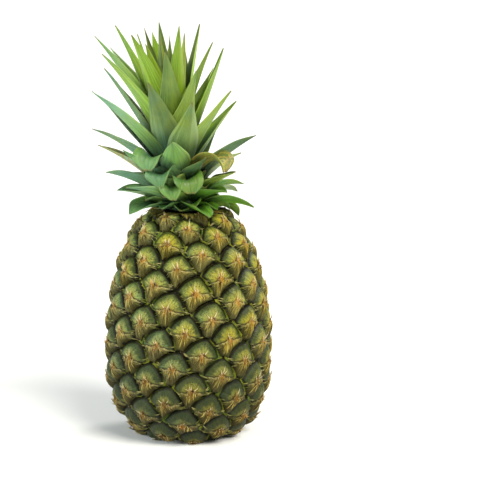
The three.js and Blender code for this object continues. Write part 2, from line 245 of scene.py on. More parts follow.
# painted light: the right and upper side, where the key lamp falls, is painted riper and yellower on top of
# how far each eye has ripened
lit_side = mask_between(ripeness_and_painted_light, nudged(ripeness_and_painted_light, x, z, 0.35), -0.05, 0.12)
ripe_and_lit = nudged(ripeness_and_painted_light, nudged(ripeness_and_painted_light, -0.25, given["Own"], 0.75), lit_side, 0.75)
ripeness_and_painted_light.links.new(node(ripeness_and_painted_light, "ShaderNodeClamp", {0: ripe_and_lit}).outputs[0], put["Ripe"])
# painted shade: the fruit is painted darker towards its foot, where less light falls
near_foot = mask_between(ripeness_and_painted_light, z, 0.13, 0.01)
ripeness_and_painted_light.links.new(times(ripeness_and_painted_light, near_foot, 0.66), put["Shade"])
print(ripeness_and_painted_light.name, "has", len(ripeness_and_painted_light.nodes), "nodes")

# %% Build the blotch group
blotches, given, put = new_group(
    "blotches",
    [("Size", "Float", 0.01), ("Low", "Float", 0.4), ("High", "Float", 0.6), ("Seed", "Float", 0.0)],
    [("Mask", "Float"), ("Fine", "Float")],
)
where = node(blotches, "ShaderNodeTexCoord").outputs["Object"]
shift = vector_of(blotches, given["Seed"], given["Seed"])
place = node(blotches, "ShaderNodeVectorMath", {0: where, 1: shift}, operation="ADD").outputs[0]
scale = sums(blotches, "DIVIDE", 1.0, given["Size"])
coarse = noise(blotches, place, scale, 3.0)
blotches.links.new(mask_between(blotches, coarse, given["Low"], given["High"]), put["Mask"])
fine = noise(blotches, place, times(blotches, scale, 9.0), 4.0)
blotches.links.new(fine, put["Fine"])
print(blotches.name, "has", len(blotches.nodes), "nodes")

# %% Build the bloom group
bloom, given, put = new_group(
    "waxy_bloom",
    [("Color", "Color"), ("Bloom", "Color"), ("Amount", "Float", 0.5), ("Size", "Float", 0.01)],
    [("Color", "Color")],
)
rubbed = placed(bloom, blotches, Size=given["Size"], Low=0.32, High=0.68, Seed=4.0)
powder = times(bloom, nudged(bloom, 0.25, rubbed, 0.75), given["Amount"])
bloom.links.new(mixed(bloom, powder, given["Color"], given["Bloom"]), put["Color"])
print(bloom.name, "has", len(bloom.nodes), "nodes")

# %% [markdown]
# ## Floor and light
# A plain pale floor carries the fruit. The light is that of a photographer's studio: a wide warm lamp
# above the right shoulder, a weak one behind that lifts the edges of the leaves, a cool one at the left
# that opens the shaded side, and a pale world all round. The lamps are suns with large angles: they are
# soft like wide panels, but their light doesn't weaken with distance, so the floor is equally pale out to
# its far edge. Area lamps would do for the fruit alone, but they leave a pool of light on the floor.

# %% Make the floor
FLOOR_HALF = 40.0

corners = [(x * FLOOR_HALF, y * FLOOR_HALF, 0) for x, y in ((-1, -1), (1, -1), (1, 1), (-1, 1))]
floor_mesh = bpy.data.meshes.new("floor")
floor_mesh.from_pydata(corners, [], [(0, 1, 2, 3)])
floor = bpy.data.objects.new("floor", floor_mesh)
bpy.context.scene.collection.objects.link(floor)
floor_material, tree = new_material("pale_floor", 0.9, 0.0)
mottle = placed(tree, blotches, Size=0.4, Low=0.2, High=0.8)
finish_material(floor_material, [floor], mixed(tree, mottle, (0.92, 0.93, 0.97), (0.94, 0.95, 0.98)))
print("floor", 2 * FLOOR_HALF, "m wide")

# %% Hang the lights
FRUIT_MIDDLE = Vector((0, 0, 0.16))
WORLD_LIGHT = 0.24


def hang_lamp(name, place, strength, width, color):
    """A sun that shines from this place on the fruit, as soft as a lamp this many degrees wide."""
    data = bpy.data.lights.new(name, "SUN")
    data.energy = strength
    data.angle = math.radians(width)
    data.color = color
    lamp = bpy.data.objects.new(name, data)
    lamp.location = place
    lamp.rotation_euler = (Vector(place) - FRUIT_MIDDLE).to_track_quat("Z", "Y").to_euler()
    bpy.context.scene.collection.objects.link(lamp)


hang_lamp("key_light", (0.9, -1.1, 1.5), 3.5, 32, (1.0, 0.97, 0.85))
hang_lamp("rim_light", (0.9, 0.9, 1.0), 1.5, 22, (1.0, 0.98, 0.9))
hang_lamp("fill_light", (-1.4, -0.5, 0.7), 2.6, 40, (0.92, 1.0, 0.97))

# the world lights softly, and is as pale as the floor where it is seen itself
world = bpy.data.worlds.new("studio")
world.use_nodes = True
tree = world.node_tree
seen = node(tree, "ShaderNodeLightPath").outputs["Is Camera Ray"]
backdrop = tree.nodes["Background"].inputs
tree.links.new(mixed(tree, seen, (1.0, 0.99, 0.94), (1.0, 1.0, 1.0)), backdrop["Color"])
tree.links.new(nudged(tree, WORLD_LIGHT, seen, 1 - WORLD_LIGHT), backdrop["Strength"])
bpy.context.scene.world = world
bpy.context.scene.view_settings.view_transform = "Standard"
print("lights hung")

# %% [markdown]
# ## Numbers that grow
# Nothing on a plant is exactly like its neighbour. A repeatable draw gives each eye and each leaf its own
# small departure from the rule, the same at every run. From here on, lengths are in millimetres until a
# mesh is made. The materials measure in metres.

# %% Define the draw and two ways to read between numbers
MM = 0.001
TURN = 2 * math.pi
GOLDEN_ANGLE = math.pi * (3 - math.sqrt(5))


def draw(index, channel):
    """A repeatable number between -1 and 1."""
    wave = np.sin(index * 12.9898 + channel * 78.233) * 43758.5453
    return 2 * (wave - np.floor(wave)) - 1


def along(values, share):
    """The value of a curve through evenly spaced numbers, for share from 0 to 1."""
    return np.interp(np.clip(share, 0, 1) * (len(values) - 1), range(len(values)), values)


def ease(value, low, high):
    """0 below low, 1 above high, and a smooth step between them."""
    share = np.clip((value - low) / (high - low), 0, 1)
    return share * share * (3 - 2 * share)


def own_draws(number, *channels):
    """Draws from 0 to 1, by which a finish tells this eye or blade from its neighbours."""
    return [draw(number, channel) / 2 + 0.5 for channel in channels]


print("first draws", [round(float(draw(i, 1)), 3) for i in range(4)])

# %% [markdown]
# ## The outline of the fruit
# The fruit is a turned form: a belly that tucks under to a flat foot, and a shoulder that closes to a
# seat for the crown. The skin can be unrolled on a plane whose axes are the angle round the fruit and the
# rise, which is the way up the outline measured in radii. This keeps the shape of every small patch, so
# an eye that is round on the plane is round on the fruit. A Screw modifier could turn the form from a
# profile, but the eyes have to be laid out over it first, so the outline is kept as a table of numbers
# that can be looked up.

# %% Trace the outline
FRUIT_RADIUS = 61.6  # in the furrows, at its widest
WIDEST_AT = 70
FRUIT_TOP = 180
FOOT_TUCK = 2
BELLY_BEND = (2.35, 3.1)
SHOULDER_BEND = (1.8, 3)
SEAT_RADIUS = 18
STALK_RADIUS = 13
GAP = 0.4
POCKET_RADIUS = STALK_RADIUS + GAP
EYE_AREA = 510
SMALL_EYE = 0.45


def outline_radius(z):
    """Radius of the furrows' surface at a height."""
    below = np.clip((WIDEST_AT - z) / (WIDEST_AT + FOOT_TUCK), 0, 1)
    above = np.clip((z - WIDEST_AT) / (FRUIT_TOP - WIDEST_AT), 0, 1)
    belly = (1 - below ** BELLY_BEND[0]) ** (1 / BELLY_BEND[1])
    shoulder = (1 - above ** SHOULDER_BEND[0]) ** (1 / SHOULDER_BEND[1])
    return FRUIT_RADIUS * np.where(z < WIDEST_AT, belly, shoulder)


def outline_height(radius):
    """Height of the shoulder at a distance from the axis."""
    bend, roundness = SHOULDER_BEND
    return WIDEST_AT + (FRUIT_TOP - WIDEST_AT) * (1 - (radius / FRUIT_RADIUS) ** roundness) ** (1 / bend)


SEAT_HEIGHT = float(outline_height(SEAT_RADIUS))


def trace_outline(foot_steps=30, body_steps=240):
    """Columns of numbers along the outline, from the rim of the stalk's pocket to the seat."""
    foot = np.linspace(POCKET_RADIUS, outline_radius(0), foot_steps, endpoint=False)
    height = SEAT_HEIGHT * (1 - np.cos(np.pi * np.linspace(0, 1, body_steps + 1))) / 2
    r = np.concatenate([foot, outline_radius(height)])
    z = np.concatenate([foot * 0, height])
    step = np.hypot(np.diff(r), np.diff(z))
    middle = (r[1:] + r[:-1]) / 2
    area = EYE_AREA * (SMALL_EYE + (1 - SMALL_EYE) * middle / FRUIT_RADIUS)
    columns = {"length": step, "rise": step / middle, "eye": TURN * middle * step / area}
    running = {name: np.concatenate([[0], np.cumsum(steps)]) for name, steps in columns.items()}
    out_r, out_z = np.gradient(z), -np.gradient(r)
    size = np.hypot(out_r, out_z)
    return {"r": r, "z": z, "out_r": out_r / size, "out_z": out_z / size, **running}


OUTLINE = trace_outline()
TOP_RISE = OUTLINE["rise"][-1]
print("seat at", round(SEAT_HEIGHT, 1), "mm,", int(OUTLINE["eye"][-1]), "eyes")

# %% Look up the outline, and place a point of the skin
FOOT_LENGTH = float(outline_radius(0)) - POCKET_RADIUS
FOOT_FADE = 16
SEAT_FADE = 12


def outline_where(column, value, wanted):
    """One column of the outline where another has this value, carried on straight past the ends."""
    known, column_wanted = OUTLINE[column], OUTLINE[wanted]
    i = np.clip(np.searchsorted(known, value), 1, len(known) - 1)
    share = (value - known[i - 1]) / (known[i] - known[i - 1])
    return column_wanted[i - 1] + share * (column_wanted[i] - column_wanted[i - 1])


def skin_frame(place):
    """Point, outward and upward direction, and strength of the relief, at (angle, rise) places."""
    angle, rise = place[..., 0], place[..., 1]
    read = {name: outline_where("rise", rise, name) for name in ("r", "z", "out_r", "out_z", "length")}
    c, s = np.cos(angle), np.sin(angle)
    point = np.stack([read["r"] * c, read["r"] * s, read["z"]], -1)
    out = np.stack([read["out_r"] * c, read["out_r"] * s, read["out_z"]], -1)
    up = np.stack([-read["out_z"] * c, -read["out_z"] * s, read["out_r"]], -1)
    foot = ease(read["length"], FOOT_LENGTH - 2, FOOT_LENGTH + FOOT_FADE)
    seat = ease(OUTLINE["length"][-1] - read["length"], 0, SEAT_FADE)
    return point, out, up, np.minimum(foot, seat)


def raise_over_skin(place, height, sweep=0.0):
    """Points at a height over the furrows' surface, swept a little to the crown, never under the floor."""
    point, out, up, fade = skin_frame(place)
    moved = point + out * (height * fade)[..., None] + up * (sweep * fade)[..., None]
    moved[..., 2] = np.maximum(moved[..., 2], 0)
    return moved


print("middle of the front at", raise_over_skin(np.array([-math.pi / 2, 2.0]), np.array(0.0)).round(1))

# %% [markdown]
# ## The cells of the eyes
# On the unrolled skin each eye takes all the room that is nearer to its middle than to any other, which
# gives the rounded four- and six-sided fields of a real pineapple. A cell starts as a large square and is
# cut back half-way to each neighbour. Copies of one modelled eye would overlap or leave gaps, because no
# two of these fields are alike, so every cell is worked out from its own neighbours.

# %% Lay out the eyes
FIRST_EYE_ANGLE = 1.2
SPARE_EYES = 14
NEIGHBOUR_REACH = 36
EYE_DRIFT = 1.1  # how far an eye strays from the rule
EYE_LEAN = 0.2  # how far it leans over, in radians
DRIFT_RADIUS = 20  # nearer the axis than this, the eyes stray through no wider an angle

eye_numbers = np.arange(-SPARE_EYES, OUTLINE["eye"][-1] + SPARE_EYES)
order = np.arange(len(eye_numbers))
drift = EYE_DRIFT / np.maximum(outline_where("eye", eye_numbers, "r"), DRIFT_RADIUS)
eye_angle = FIRST_EYE_ANGLE + eye_numbers * GOLDEN_ANGLE + drift * draw(order, 8)
eye_rise = outline_where("eye", eye_numbers, "rise") + drift * draw(order, 9)
eye_middles = np.stack([eye_angle, eye_rise], -1)


def leaned(number, places, way=1):
    """Places in an eye, turned by the eye's own small lean, or back with way -1."""
    lean = way * EYE_LEAN * draw(number, 7)
    c, s = np.cos(lean), np.sin(lean)
    return places @ np.array([(c, s), (-s, c)])


print("middle of eye 40 at angle and rise", eye_middles[40].round(2))

# %% Cut the cells
def clip_cell(cell, normal, offset):
    """The part of a cell on the near side of the line normal . p = offset."""
    kept = []
    for p, q in zip(cell, np.roll(cell, -1, axis=0)):
        dp, dq = offset - normal @ p, offset - normal @ q
        if dp >= 0:
            kept.append(p)
        if dp * dq < 0:
            kept.append(p + (q - p) * dp / (dp - dq))
    return np.array(kept).reshape(-1, 2)


def eye_cell(index):
    """The outline of one eye on the unrolled skin."""
    middle = eye_middles[index]
    cell = middle + math.pi * np.array([(-1, -1), (1, -1), (1, 1), (-1, 1)])
    for other in range(max(0, index - NEIGHBOUR_REACH), min(len(eye_middles), index + NEIGHBOUR_REACH + 1)):
        if other == index:
            continue
        image = eye_middles[other].copy()
        image[0] += TURN * round((middle[0] - image[0]) / TURN)
        for turn in (-TURN, 0, TURN):
            neighbour = image + (turn, 0)
            normal = neighbour - middle
            cell = clip_cell(cell, normal, normal @ (neighbour + middle) / 2)
    # the skin ends at the pocket of the stalk and at the seat of the crown
    cell = clip_cell(cell, np.array([0, -1]), 0)
    return clip_cell(cell, np.array([0, 1]), TOP_RISE)


eyes = []
for index, number in enumerate(eye_numbers):
    cell = eye_cell(index)
    if len(cell) < 3:
        continue
    whole = 0 < eye_middles[index][1] < TOP_RISE
    middle = eye_middles[index] if whole else cell.mean(axis=0)
    eyes.append({"number": index, "middle": middle, "cell": cell, "whole": whole})
whole_eyes = [eye for eye in eyes if eye["whole"]]
print(len(eyes), "eyes,", len(whole_eyes), "of them whole")

# %% [markdown]
# ## Furrows that arch over every eye
# The upper half of a real eye is round, and the bract of the eye above it reaches down between two such
# arches. So a furrow isn't straight: it bows up, away from the eye below it. Both neighbours bow their
# common edge by the same rule, so they still meet without a gap.

# %% Bow the furrows
ARCH = 0.16
EDGE_STEP = 2.2


def edge_points(cell):
    """Points round a cell, with every furrow bowed towards the eye above it."""
    points = []
    for p, q in zip(cell, np.roll(cell, -1, axis=0)):
        side = q - p
        size = np.hypot(*side)
        length = size * outline_where("rise", (p[1] + q[1]) / 2, "r")
        parts = max(1, math.ceil(length / EDGE_STEP - 1e-6))
        t = np.arange(parts)[:, None] / parts
        upward = np.array([-side[1], side[0]]) * (1 if side[0] > 0 else -1)
        on_end = max(p[1], q[1]) < 1e-9 or min(p[1], q[1]) > TOP_RISE - 1e-9
        bow = 0 if on_end or size < 1e-12 else ARCH * abs(side[0]) / size
        points.append(p + side * t + upward * bow * 4 * t * (1 - t))
    return np.concatenate(points)


for eye in eyes:
    eye["edge"] = edge_points(eye["cell"])
print("an eye has about", round(sum(len(eye["edge"]) for eye in eyes) / len(eyes), 1), "edge points")

# %% [markdown]
# ## The relief of one eye
# Inside an eye, x runs to the right and y to the crown, and both reach 1 in the furrow. The upper half is
# a round dome made of two plump sepals with a groove between them. The lower half slopes down under the
# bract, a dry leaf whose top edge leaves a crease from side to side. The middle is sunk where the flower
# once stood. It could be sculpted, or pushed out by a texture. A sum of simple curves is chosen instead,
# because each eye then has the same parts with its own small departures, and whatever lies over it later
# can ask for its height at any place.

# %% Shape the relief
EYE_HEIGHT = 4.0
EYE_STRAY = 0.12
DOME_SHARE = 0.95
DOME_FULLNESS = 2.8
SLOPE_FULLNESS = 2.3
VALLEY_DEPTH = 1.9
BRACT_LIP = 0.9
GROOVE_DEPTH = 0.6
LOBE_HEIGHT = 0.55
CREASE_STEP = 0.3
CREASE_DEPTH = 0.8
PIT_DEPTH = 0.5
WOBBLE = 0.2


def crease_height(x):
    """Where the bract's top edge runs, as y."""
    return 0.02 - 0.12 * np.abs(x)


def swell(distance, width):
    """1 at no distance, and fading smoothly to 0 over a few widths."""
    return np.exp(-((distance / width) ** 2))


def relief(number, x, y):
    """Height of an eye over the furrows, at x and y inside it."""
    share = np.hypot(x, y)
    rim = 1 - share**6
    upper = ease(y, -0.35, 0.25)
    fullness = SLOPE_FULLNESS + (DOME_FULLNESS - SLOPE_FULLNESS) * upper
    height = EYE_HEIGHT * (1 + EYE_STRAY * draw(number, 1))
    dome = height * (1 - np.minimum(1, share / DOME_SHARE) ** fullness)
    valley = -VALLEY_DEPTH * ease(share, 0.87, 1)
    lip = 4 * BRACT_LIP * np.maximum(0, -y) * (1 - share)
    groove = -GROOVE_DEPTH * swell(x - 0.05 * draw(number, 2), 0.07) * ease(y, 0.1, 0.45) * rim
    lobes = LOBE_HEIGHT * swell(np.abs(x) - 0.4, 0.28) * swell(y - 0.42, 0.3)
    over_edge = crease_height(x) - y
    crease = (CREASE_STEP * np.tanh(over_edge / 0.06) - CREASE_DEPTH * swell(over_edge + 0.05, 0.06)) * rim
    pit = -PIT_DEPTH * swell(share, 0.16)
    wobble = WOBBLE * np.sin(6 * x + 3 * draw(number, 3)) * np.sin(5 * y + 3 * draw(number, 4)) * rim
    return dome + valley + lip + groove + lobes + crease + pit + wobble


print("height of eye 20 at its middle", round(float(relief(20, np.array(0.0), np.array(0.0))), 2), "mm")

# %% [markdown]
# ## From arrays to a Blender mesh
# Every piece below is worked out as an array of points and a list of faces, and handed to one helper. The
# bmesh tools could build them face by face, but with hundreds of thousands of faces whole arrays are much
# faster. The helper can also store colours at the points or at the corners of the faces. Materials read
# these stored numbers as a map of the piece: how far along a leaf, how far out in an eye.

# %% Make meshes
def make_piece(name, points, faces, corner_maps=None, point_maps=None):
    """A smooth piece from points in millimetres, with its stored maps, that rides on the fruit's body."""
    mesh = bpy.data.meshes.new(name)
    mesh.from_pydata((points * MM).tolist(), [], faces)
    for domain, maps in (("CORNER", corner_maps), ("POINT", point_maps)):
        for key, values in (maps or {}).items():
            layer = mesh.attributes.new(key, "FLOAT_COLOR", domain)
            layer.data.foreach_set("color", np.column_stack([values, np.ones(len(values))]).ravel())
    mesh.validate()
    mesh.shade_smooth()
    piece = bpy.data.objects.new(name, mesh)
    bpy.context.scene.collection.objects.link(piece)
    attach(piece, "root")
    print(name, len(mesh.vertices), "points,", len(mesh.polygons), "faces")
    return piece


def ring_faces(rings, size, start=0):
    """Four-sided faces between rings of points that each have this size."""
    ring, spot = np.meshgrid(np.arange(rings - 1), np.arange(size), indexing="ij")
    here, after = ring * size + spot, ring * size + (spot + 1) % size
    return (start + np.stack([here, after, after + size, here + size], -1)).reshape(-1, 4)


def capped_rings(rings, size):
    """The faces of stacked rings, with a flat face that closes each end."""
    ring = np.arange(size)
    ends = [ring[::-1].tolist(), ((rings - 1) * size + ring).tolist()]
    return ring_faces(rings, size).tolist() + ends


print("mesh helpers ready")

# %% [markdown]
# ## The skin
# A plain grid round the fruit would cut across the furrows and blur them. So each cell is filled with
# nested rings instead, from the furrow to the middle of its eye. They follow the outline of the cell, so
# the furrows are sharp lines between neighbours, and the points of two neighbours fall together there and
# are joined.

# %% Build the skin
RING_SHARES = np.array([1, 0.97, 0.92, 0.85, 0.76, 0.66, 0.56, 0.46, 0.36, 0.27, 0.19, 0.12, 0.06])
JOIN_MM = 1e-3


def eye_patch(eye):
    """Points of one eye, ring by ring with the middle last, their places in it, and the size of a ring."""
    edge = eye["edge"]
    away = edge - eye["middle"]
    direction = away / np.hypot(away[:, 0], away[:, 1])[:, None]
    shares = RING_SHARES[:, None, None]
    place = np.concatenate([(eye["middle"] + away * shares).reshape(-1, 2), [eye["middle"]]])
    local = leaned(eye["number"], np.concatenate([(direction * shares).reshape(-1, 2), [(0, 0)]]), -1)
    height = relief(eye["number"], local[:, 0], local[:, 1])
    return raise_over_skin(place, height), local, len(edge)


points, faces, eye_places, eye_draws = [], [], [], []
start = 0
for eye in eyes:
    patch, local, size = eye_patch(eye)
    quads = ring_faces(len(RING_SHARES), size, start)
    last = start + (len(RING_SHARES) - 1) * size + np.arange(size)
    fan = np.column_stack([last, np.roll(last, -1), np.full(size, start + len(patch) - 1)])
    faces += quads.tolist() + fan.tolist()
    points.append(patch)
    eye_places.append(np.column_stack([local, np.hypot(local[:, 0], local[:, 1])]))
    eye_draws.append(np.tile(own_draws(eye["number"], 11, 12, 13), (len(patch), 1)))
    start += len(patch)
print(start, "points before neighbours are joined")

# %% Join the eyes into one skin
points = np.concatenate(points)
corner_order = [i for face in faces for i in face]
_, first, joined = np.unique((points / JOIN_MM).round(), axis=0, return_index=True, return_inverse=True)
joined = joined.ravel()
skin = make_piece(
    "pineapple_skin",
    points[first],
    [[int(joined[i]) for i in face] for face in faces],
    corner_maps={
        "eye_place": np.concatenate(eye_places)[corner_order],
        "eye_draw": np.concatenate(eye_draws)[corner_order],
    },
)
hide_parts("fruit")

# %% [markdown]
# ## The colour of an eye
# Every eye carries the same picture with its own departures, so its colours are laid out on the map of
# its place: x to the right, y to the crown, and the share of the way to the furrow. The sepals are olive
# green under a grey bloom, paler inwards, with dark green crescents painted at their upper edge as the
# shade of the furrow above. The skin under the bract is straw with streaks and darker outwards, and the
# heart of the eye is orange-brown with a dark pit. The furrows are painted near-black as shade. The side
# that faces the key lamp is painted yellower, a painted light, and the eyes low on the fruit are painted
# darker as shade.

# %% Mix the colours of the sepals
skin_material, tree = new_material("pineapple_skin", 0.5, 0.25)
x, y, share, place = stored(tree, "eye_place")
own_a, own_b, own_c, _ = stored(tree, "eye_draw")
blotch = placed(tree, blotches, Size=0.007, Low=0.38, High=0.62)
fine = placed(tree, blotches, output=1, Size=0.008)
ripe_and_lit = placed(tree, ripeness_and_painted_light, Own=own_b)
shade = placed(tree, ripeness_and_painted_light, output=1)
fans = placed(tree, fan_fibres, Place=place, Count=6.0, Seed=own_c)

sepal = mixed(tree, ripe_and_lit, (0.05, 0.098, 0.018), (0.14, 0.15, 0.01))
sepal = tinted(tree, sepal, fans, 0.55, (0.019, 0.036, 0.006))
powder_color = mixed(tree, ripe_and_lit, (0.18, 0.28, 0.105), (0.25, 0.28, 0.025))
sepal = placed(tree, bloom, Color=sepal, Bloom=powder_color, Amount=0.75, Size=0.005)
sepal = tinted(tree, sepal, blotch, 0.5, (0.022, 0.038, 0.006))
inward = mask_between(tree, nudged(tree, share, fans, 0.25), 0.9, 0.4)
pale = mixed(tree, ripe_and_lit, (0.35, 0.37, 0.1), (0.52, 0.43, 0.025))
sepal = tinted(tree, sepal, inward, 0.8, pale)
# painted shade: a dark green crescent under the furrow at the upper edge of each eye, wider low on the
# fruit
rim = nudged(tree, nudged(tree, share, blotch, 0.12), shade, 0.35)
painted_rim_shade = times(tree, mask_between(tree, rim, 0.66, 0.84), mask_between(tree, y, -0.1, 0.3))
rim_shade_green = mixed(tree, own_a, (0.012, 0.03, 0.004), (0.04, 0.055, 0.005))
sepal = tinted(tree, sepal, painted_rim_shade, 0.8, rim_shade_green)
print("sepal colours have", len(tree.nodes), "nodes")

# %% Mix the colours under the bract
straw = mixed(tree, ripe_and_lit, (0.28, 0.26, 0.08), (0.51, 0.37, 0.03))
straw = tinted(tree, straw, fans, 0.85, (0.053, 0.036, 0.008))
straw = tinted(tree, straw, mask_between(tree, share, 0.45, 0.85), 0.8, (0.055, 0.07, 0.018))
aside = sums(tree, "ABSOLUTE", x)
over_crease = nudged(tree, y, aside, 0.12)
color = mixed(tree, mask_between(tree, over_crease, 0.06, -0.04), sepal, straw)

# a dark line along the crease, open in the middle
line = mask_between(tree, over_crease, -0.02, 0.03)
line = times(tree, line, mask_between(tree, over_crease, 0.15, 0.07))
line = times(tree, line, mask_between(tree, aside, 0.1, 0.3))
line = times(tree, line, nudged(tree, 0.45, fine, 0.6))
color = mixed(tree, line, color, (0.022, 0.012, 0.002))
print("with straw and crease", len(tree.nodes), "nodes")

# %% Mix the heart, the pit, and the painted shade of the furrows and the foot
ragged = nudged(tree, share, fine, 0.5)
heart = mixed(tree, fans, (0.546, 0.206, 0.017), (0.246, 0.086, 0.01))
color = mixed(tree, mask_between(tree, ragged, 0.55, 0.38), color, heart)
color = mixed(tree, mask_between(tree, ragged, 0.42, 0.34), color, (0.026, 0.009, 0.002))
# painted shade: the furrows between the eyes are painted near-black
furrow = mask_between(tree, nudged(tree, share, fine, 0.16), 0.85, 0.95)
color = tinted(tree, color, furrow, 0.98, (0.005, 0.004, 0.001))
color = tinted(tree, color, mask_between(tree, fine, 0.52, 0.66), 0.75, (0.014, 0.012, 0.003))
# painted shade: the eyes low on the fruit are darkened
color = mixed(tree, shade, color, (0.012, 0.018, 0.004))
height = sums(tree, "ADD", times(tree, fine, 0.8), times(tree, fans, 0.7))
finish_material(skin_material, [skin], color, height, 0.0005, nudged(tree, 0.28, fine, 0.4))

# %% [markdown]
# ## Thin leaves as closed sheets
# A bract, a scale and a crown leaf are all thin blades. A blade is made as two grids of points, one for
# each face, joined round the rim, so it has real thickness and an edge that catches the light. Thousands
# of them would be slow as objects, so the blades of one kind are gathered in one mesh.

# %% Collect blades into one mesh
class Blades:
    """Closed sheets gathered for one mesh, with maps of where each point lies."""

    def __init__(self):
        self.points, self.faces, self.maps, self.count = [], [], {}, 0

    def add(self, top, under, **maps):
        """Join two grids of points round their rims. A map is three values, spread over both faces."""
        rows, columns = top.shape[:2]
        grid = np.arange(rows * columns).reshape(rows, columns)
        face = np.stack([grid[:-1, :-1], grid[:-1, 1:], grid[1:, 1:], grid[1:, :-1]], -1).reshape(-1, 4)
        rim = np.concatenate([grid[0, :-1], grid[:-1, -1], grid[-1, :0:-1], grid[:0:-1, 0]])
        after = np.roll(rim, -1)
        side = np.column_stack([rim + grid.size, after + grid.size, after, rim])
        self.faces += (self.count + np.concatenate([face, face[:, ::-1] + grid.size, side])).tolist()
        self.points += [top.reshape(-1, 3), under.reshape(-1, 3)]
        for key, values in maps.items():
            spread = [np.broadcast_to(value, (2, rows, columns)).ravel() for value in values]
            self.maps.setdefault(key, []).append(np.column_stack(spread))
        self.count += 2 * grid.size

    def make(self, name):
        """One piece with all the blades and their maps."""
        maps = {key: np.concatenate(values) for key, values in self.maps.items()}
        return make_piece(name, np.concatenate(self.points), self.faces, point_maps=maps)


print("blades ready")

# %% [markdown]
# ## The bracts
# The bract of each eye covers its lower half and narrows to a dry point that stands up over the middle.
# Here it hugs the relief of the eye under it, so the same function that shapes the skin places the blade.
# Its map holds how far across and along it a point lies, and a third number that each kind of blade uses
# in its own way.

# %% Find a point over an eye
def cell_reach(eye, direction):
    """Vector from the middle of an eye to its furrow in each of these directions."""
    away = eye["edge"] - eye["middle"]
    order = np.argsort(np.arctan2(away[:, 1], away[:, 0]))
    known = np.arctan2(away[:, 1], away[:, 0])[order]
    wanted = np.arctan2(direction[:, 1], direction[:, 0])
    return direction * np.interp(wanted, known, np.hypot(*away.T)[order], period=TURN)[:, None]


def over_eye(eye, x, y, lift, sweep=0.0):
    """Points at a height over the relief of an eye, at x and y inside it."""
    shape = np.shape(x)
    local = np.stack([np.ravel(x), np.ravel(y)], -1)
    share = np.maximum(np.hypot(local[:, 0], local[:, 1]), 1e-6)
    reach = cell_reach(eye, leaned(eye["number"], local / share[:, None]))
    place = eye["middle"] + reach * share[:, None]
    inside = np.minimum(share, 1)[:, None] / share[:, None]
    height = relief(eye["number"], *(local * inside).T) + np.ravel(np.broadcast_to(lift, shape))
    moved = raise_over_skin(place, height, np.ravel(np.broadcast_to(sweep, shape)))
    return moved.reshape(*shape, 3)


def lay_over(blades, eye, x, y, lift, thickness, place, own, sweep=0.0, turned=False):
    """Add a blade that lies over an eye, at x and y inside it and at a height over its relief."""
    top = over_eye(eye, x, y, lift, sweep)
    under = over_eye(eye, x, y, lift - thickness, sweep)
    if turned:
        top, under = under, top
    blades.add(top, under, blade_place=place, blade_draw=own)


print("a point over eye 40:", over_eye(eyes[40], 0.1, 0.2, 1.0).round(1))

# %% Build the bracts
BRACT_ROWS = 9
BRACT_COLUMNS = 17
BRACT_REACH = 0.9
BRACT_THICKNESS = 0.35
PEAK_STRAY = 0.06
PEAK_WIDTH = 0.085
TIP_REACH = 0.34
TIP_LIFT = 1.9
TIP_SWEEP = 0.7
LENGTH_STRAY = 0.4

bracts = Blades()
u = np.linspace(-1, 1, BRACT_COLUMNS)
cross = np.sign(u) * np.abs(u) ** 1.6
level = np.linspace(0, 1, BRACT_ROWS)[:, None]
x = BRACT_REACH * cross
foot_y = -0.97 * np.sqrt(1 - x**2)
free = level**3
for eye in whole_eyes:
    number = eye["number"]
    aside = PEAK_STRAY * draw(number, 24)
    peak = np.exp(-np.abs((x - aside) / PEAK_WIDTH) ** 1.3)
    frayed = 0.035 * np.sin(31 * x + 9 * draw(number, 25)) + 0.02 * np.sin(57 * x + 5 * draw(number, 23))
    long = 1 + LENGTH_STRAY * draw(number, 20)
    y = foot_y + (crease_height(x) + frayed + TIP_REACH * long * peak - foot_y) * level
    lift = 0.12 + 0.1 * level + free * (4 * np.abs(frayed) + TIP_LIFT * long * peak)
    lift = lift - 0.3 * np.abs(cross) ** 4
    sweep = TIP_SWEEP * free * long * peak
    whole_x = x + 0.12 * draw(number, 21) * free * peak
    own = own_draws(number, 11, 12, 13)
    lay_over(bracts, eye, whole_x, y, lift, BRACT_THICKNESS, (cross, level, peak * free), own, sweep)
bract_piece = bracts.make("eye_bracts")

# %% [markdown]
# ## The colour of a bract
# The bract is dry and fibrous. It is tan with upright streaks, grey-green at its foot and its sides, with
# a pale lip, and orange-brown where it runs up over the middle to its pale point. The streaks come from
# the fibre group, placed on the blade's own map, so they run from foot to point on every bract.

# %% Mix the bract's finish
bract_material, tree = new_material("dry_bract", 0.6, 0.1)
across, level, peak, place = stored(tree, "blade_place")
own_a, own_b, own_c, _ = stored(tree, "blade_draw")
ripe_and_lit = placed(tree, ripeness_and_painted_light, Own=own_b)
fine = placed(tree, blotches, output=1, Size=0.006)
streaks = placed(tree, fibres, Place=place, Count=8.0, Length=0.8, Seed=own_c)
hairs = placed(tree, fibres, Place=place, Count=19.0, Length=1.2, Seed=own_a)
aside = sums(tree, "ABSOLUTE", across)

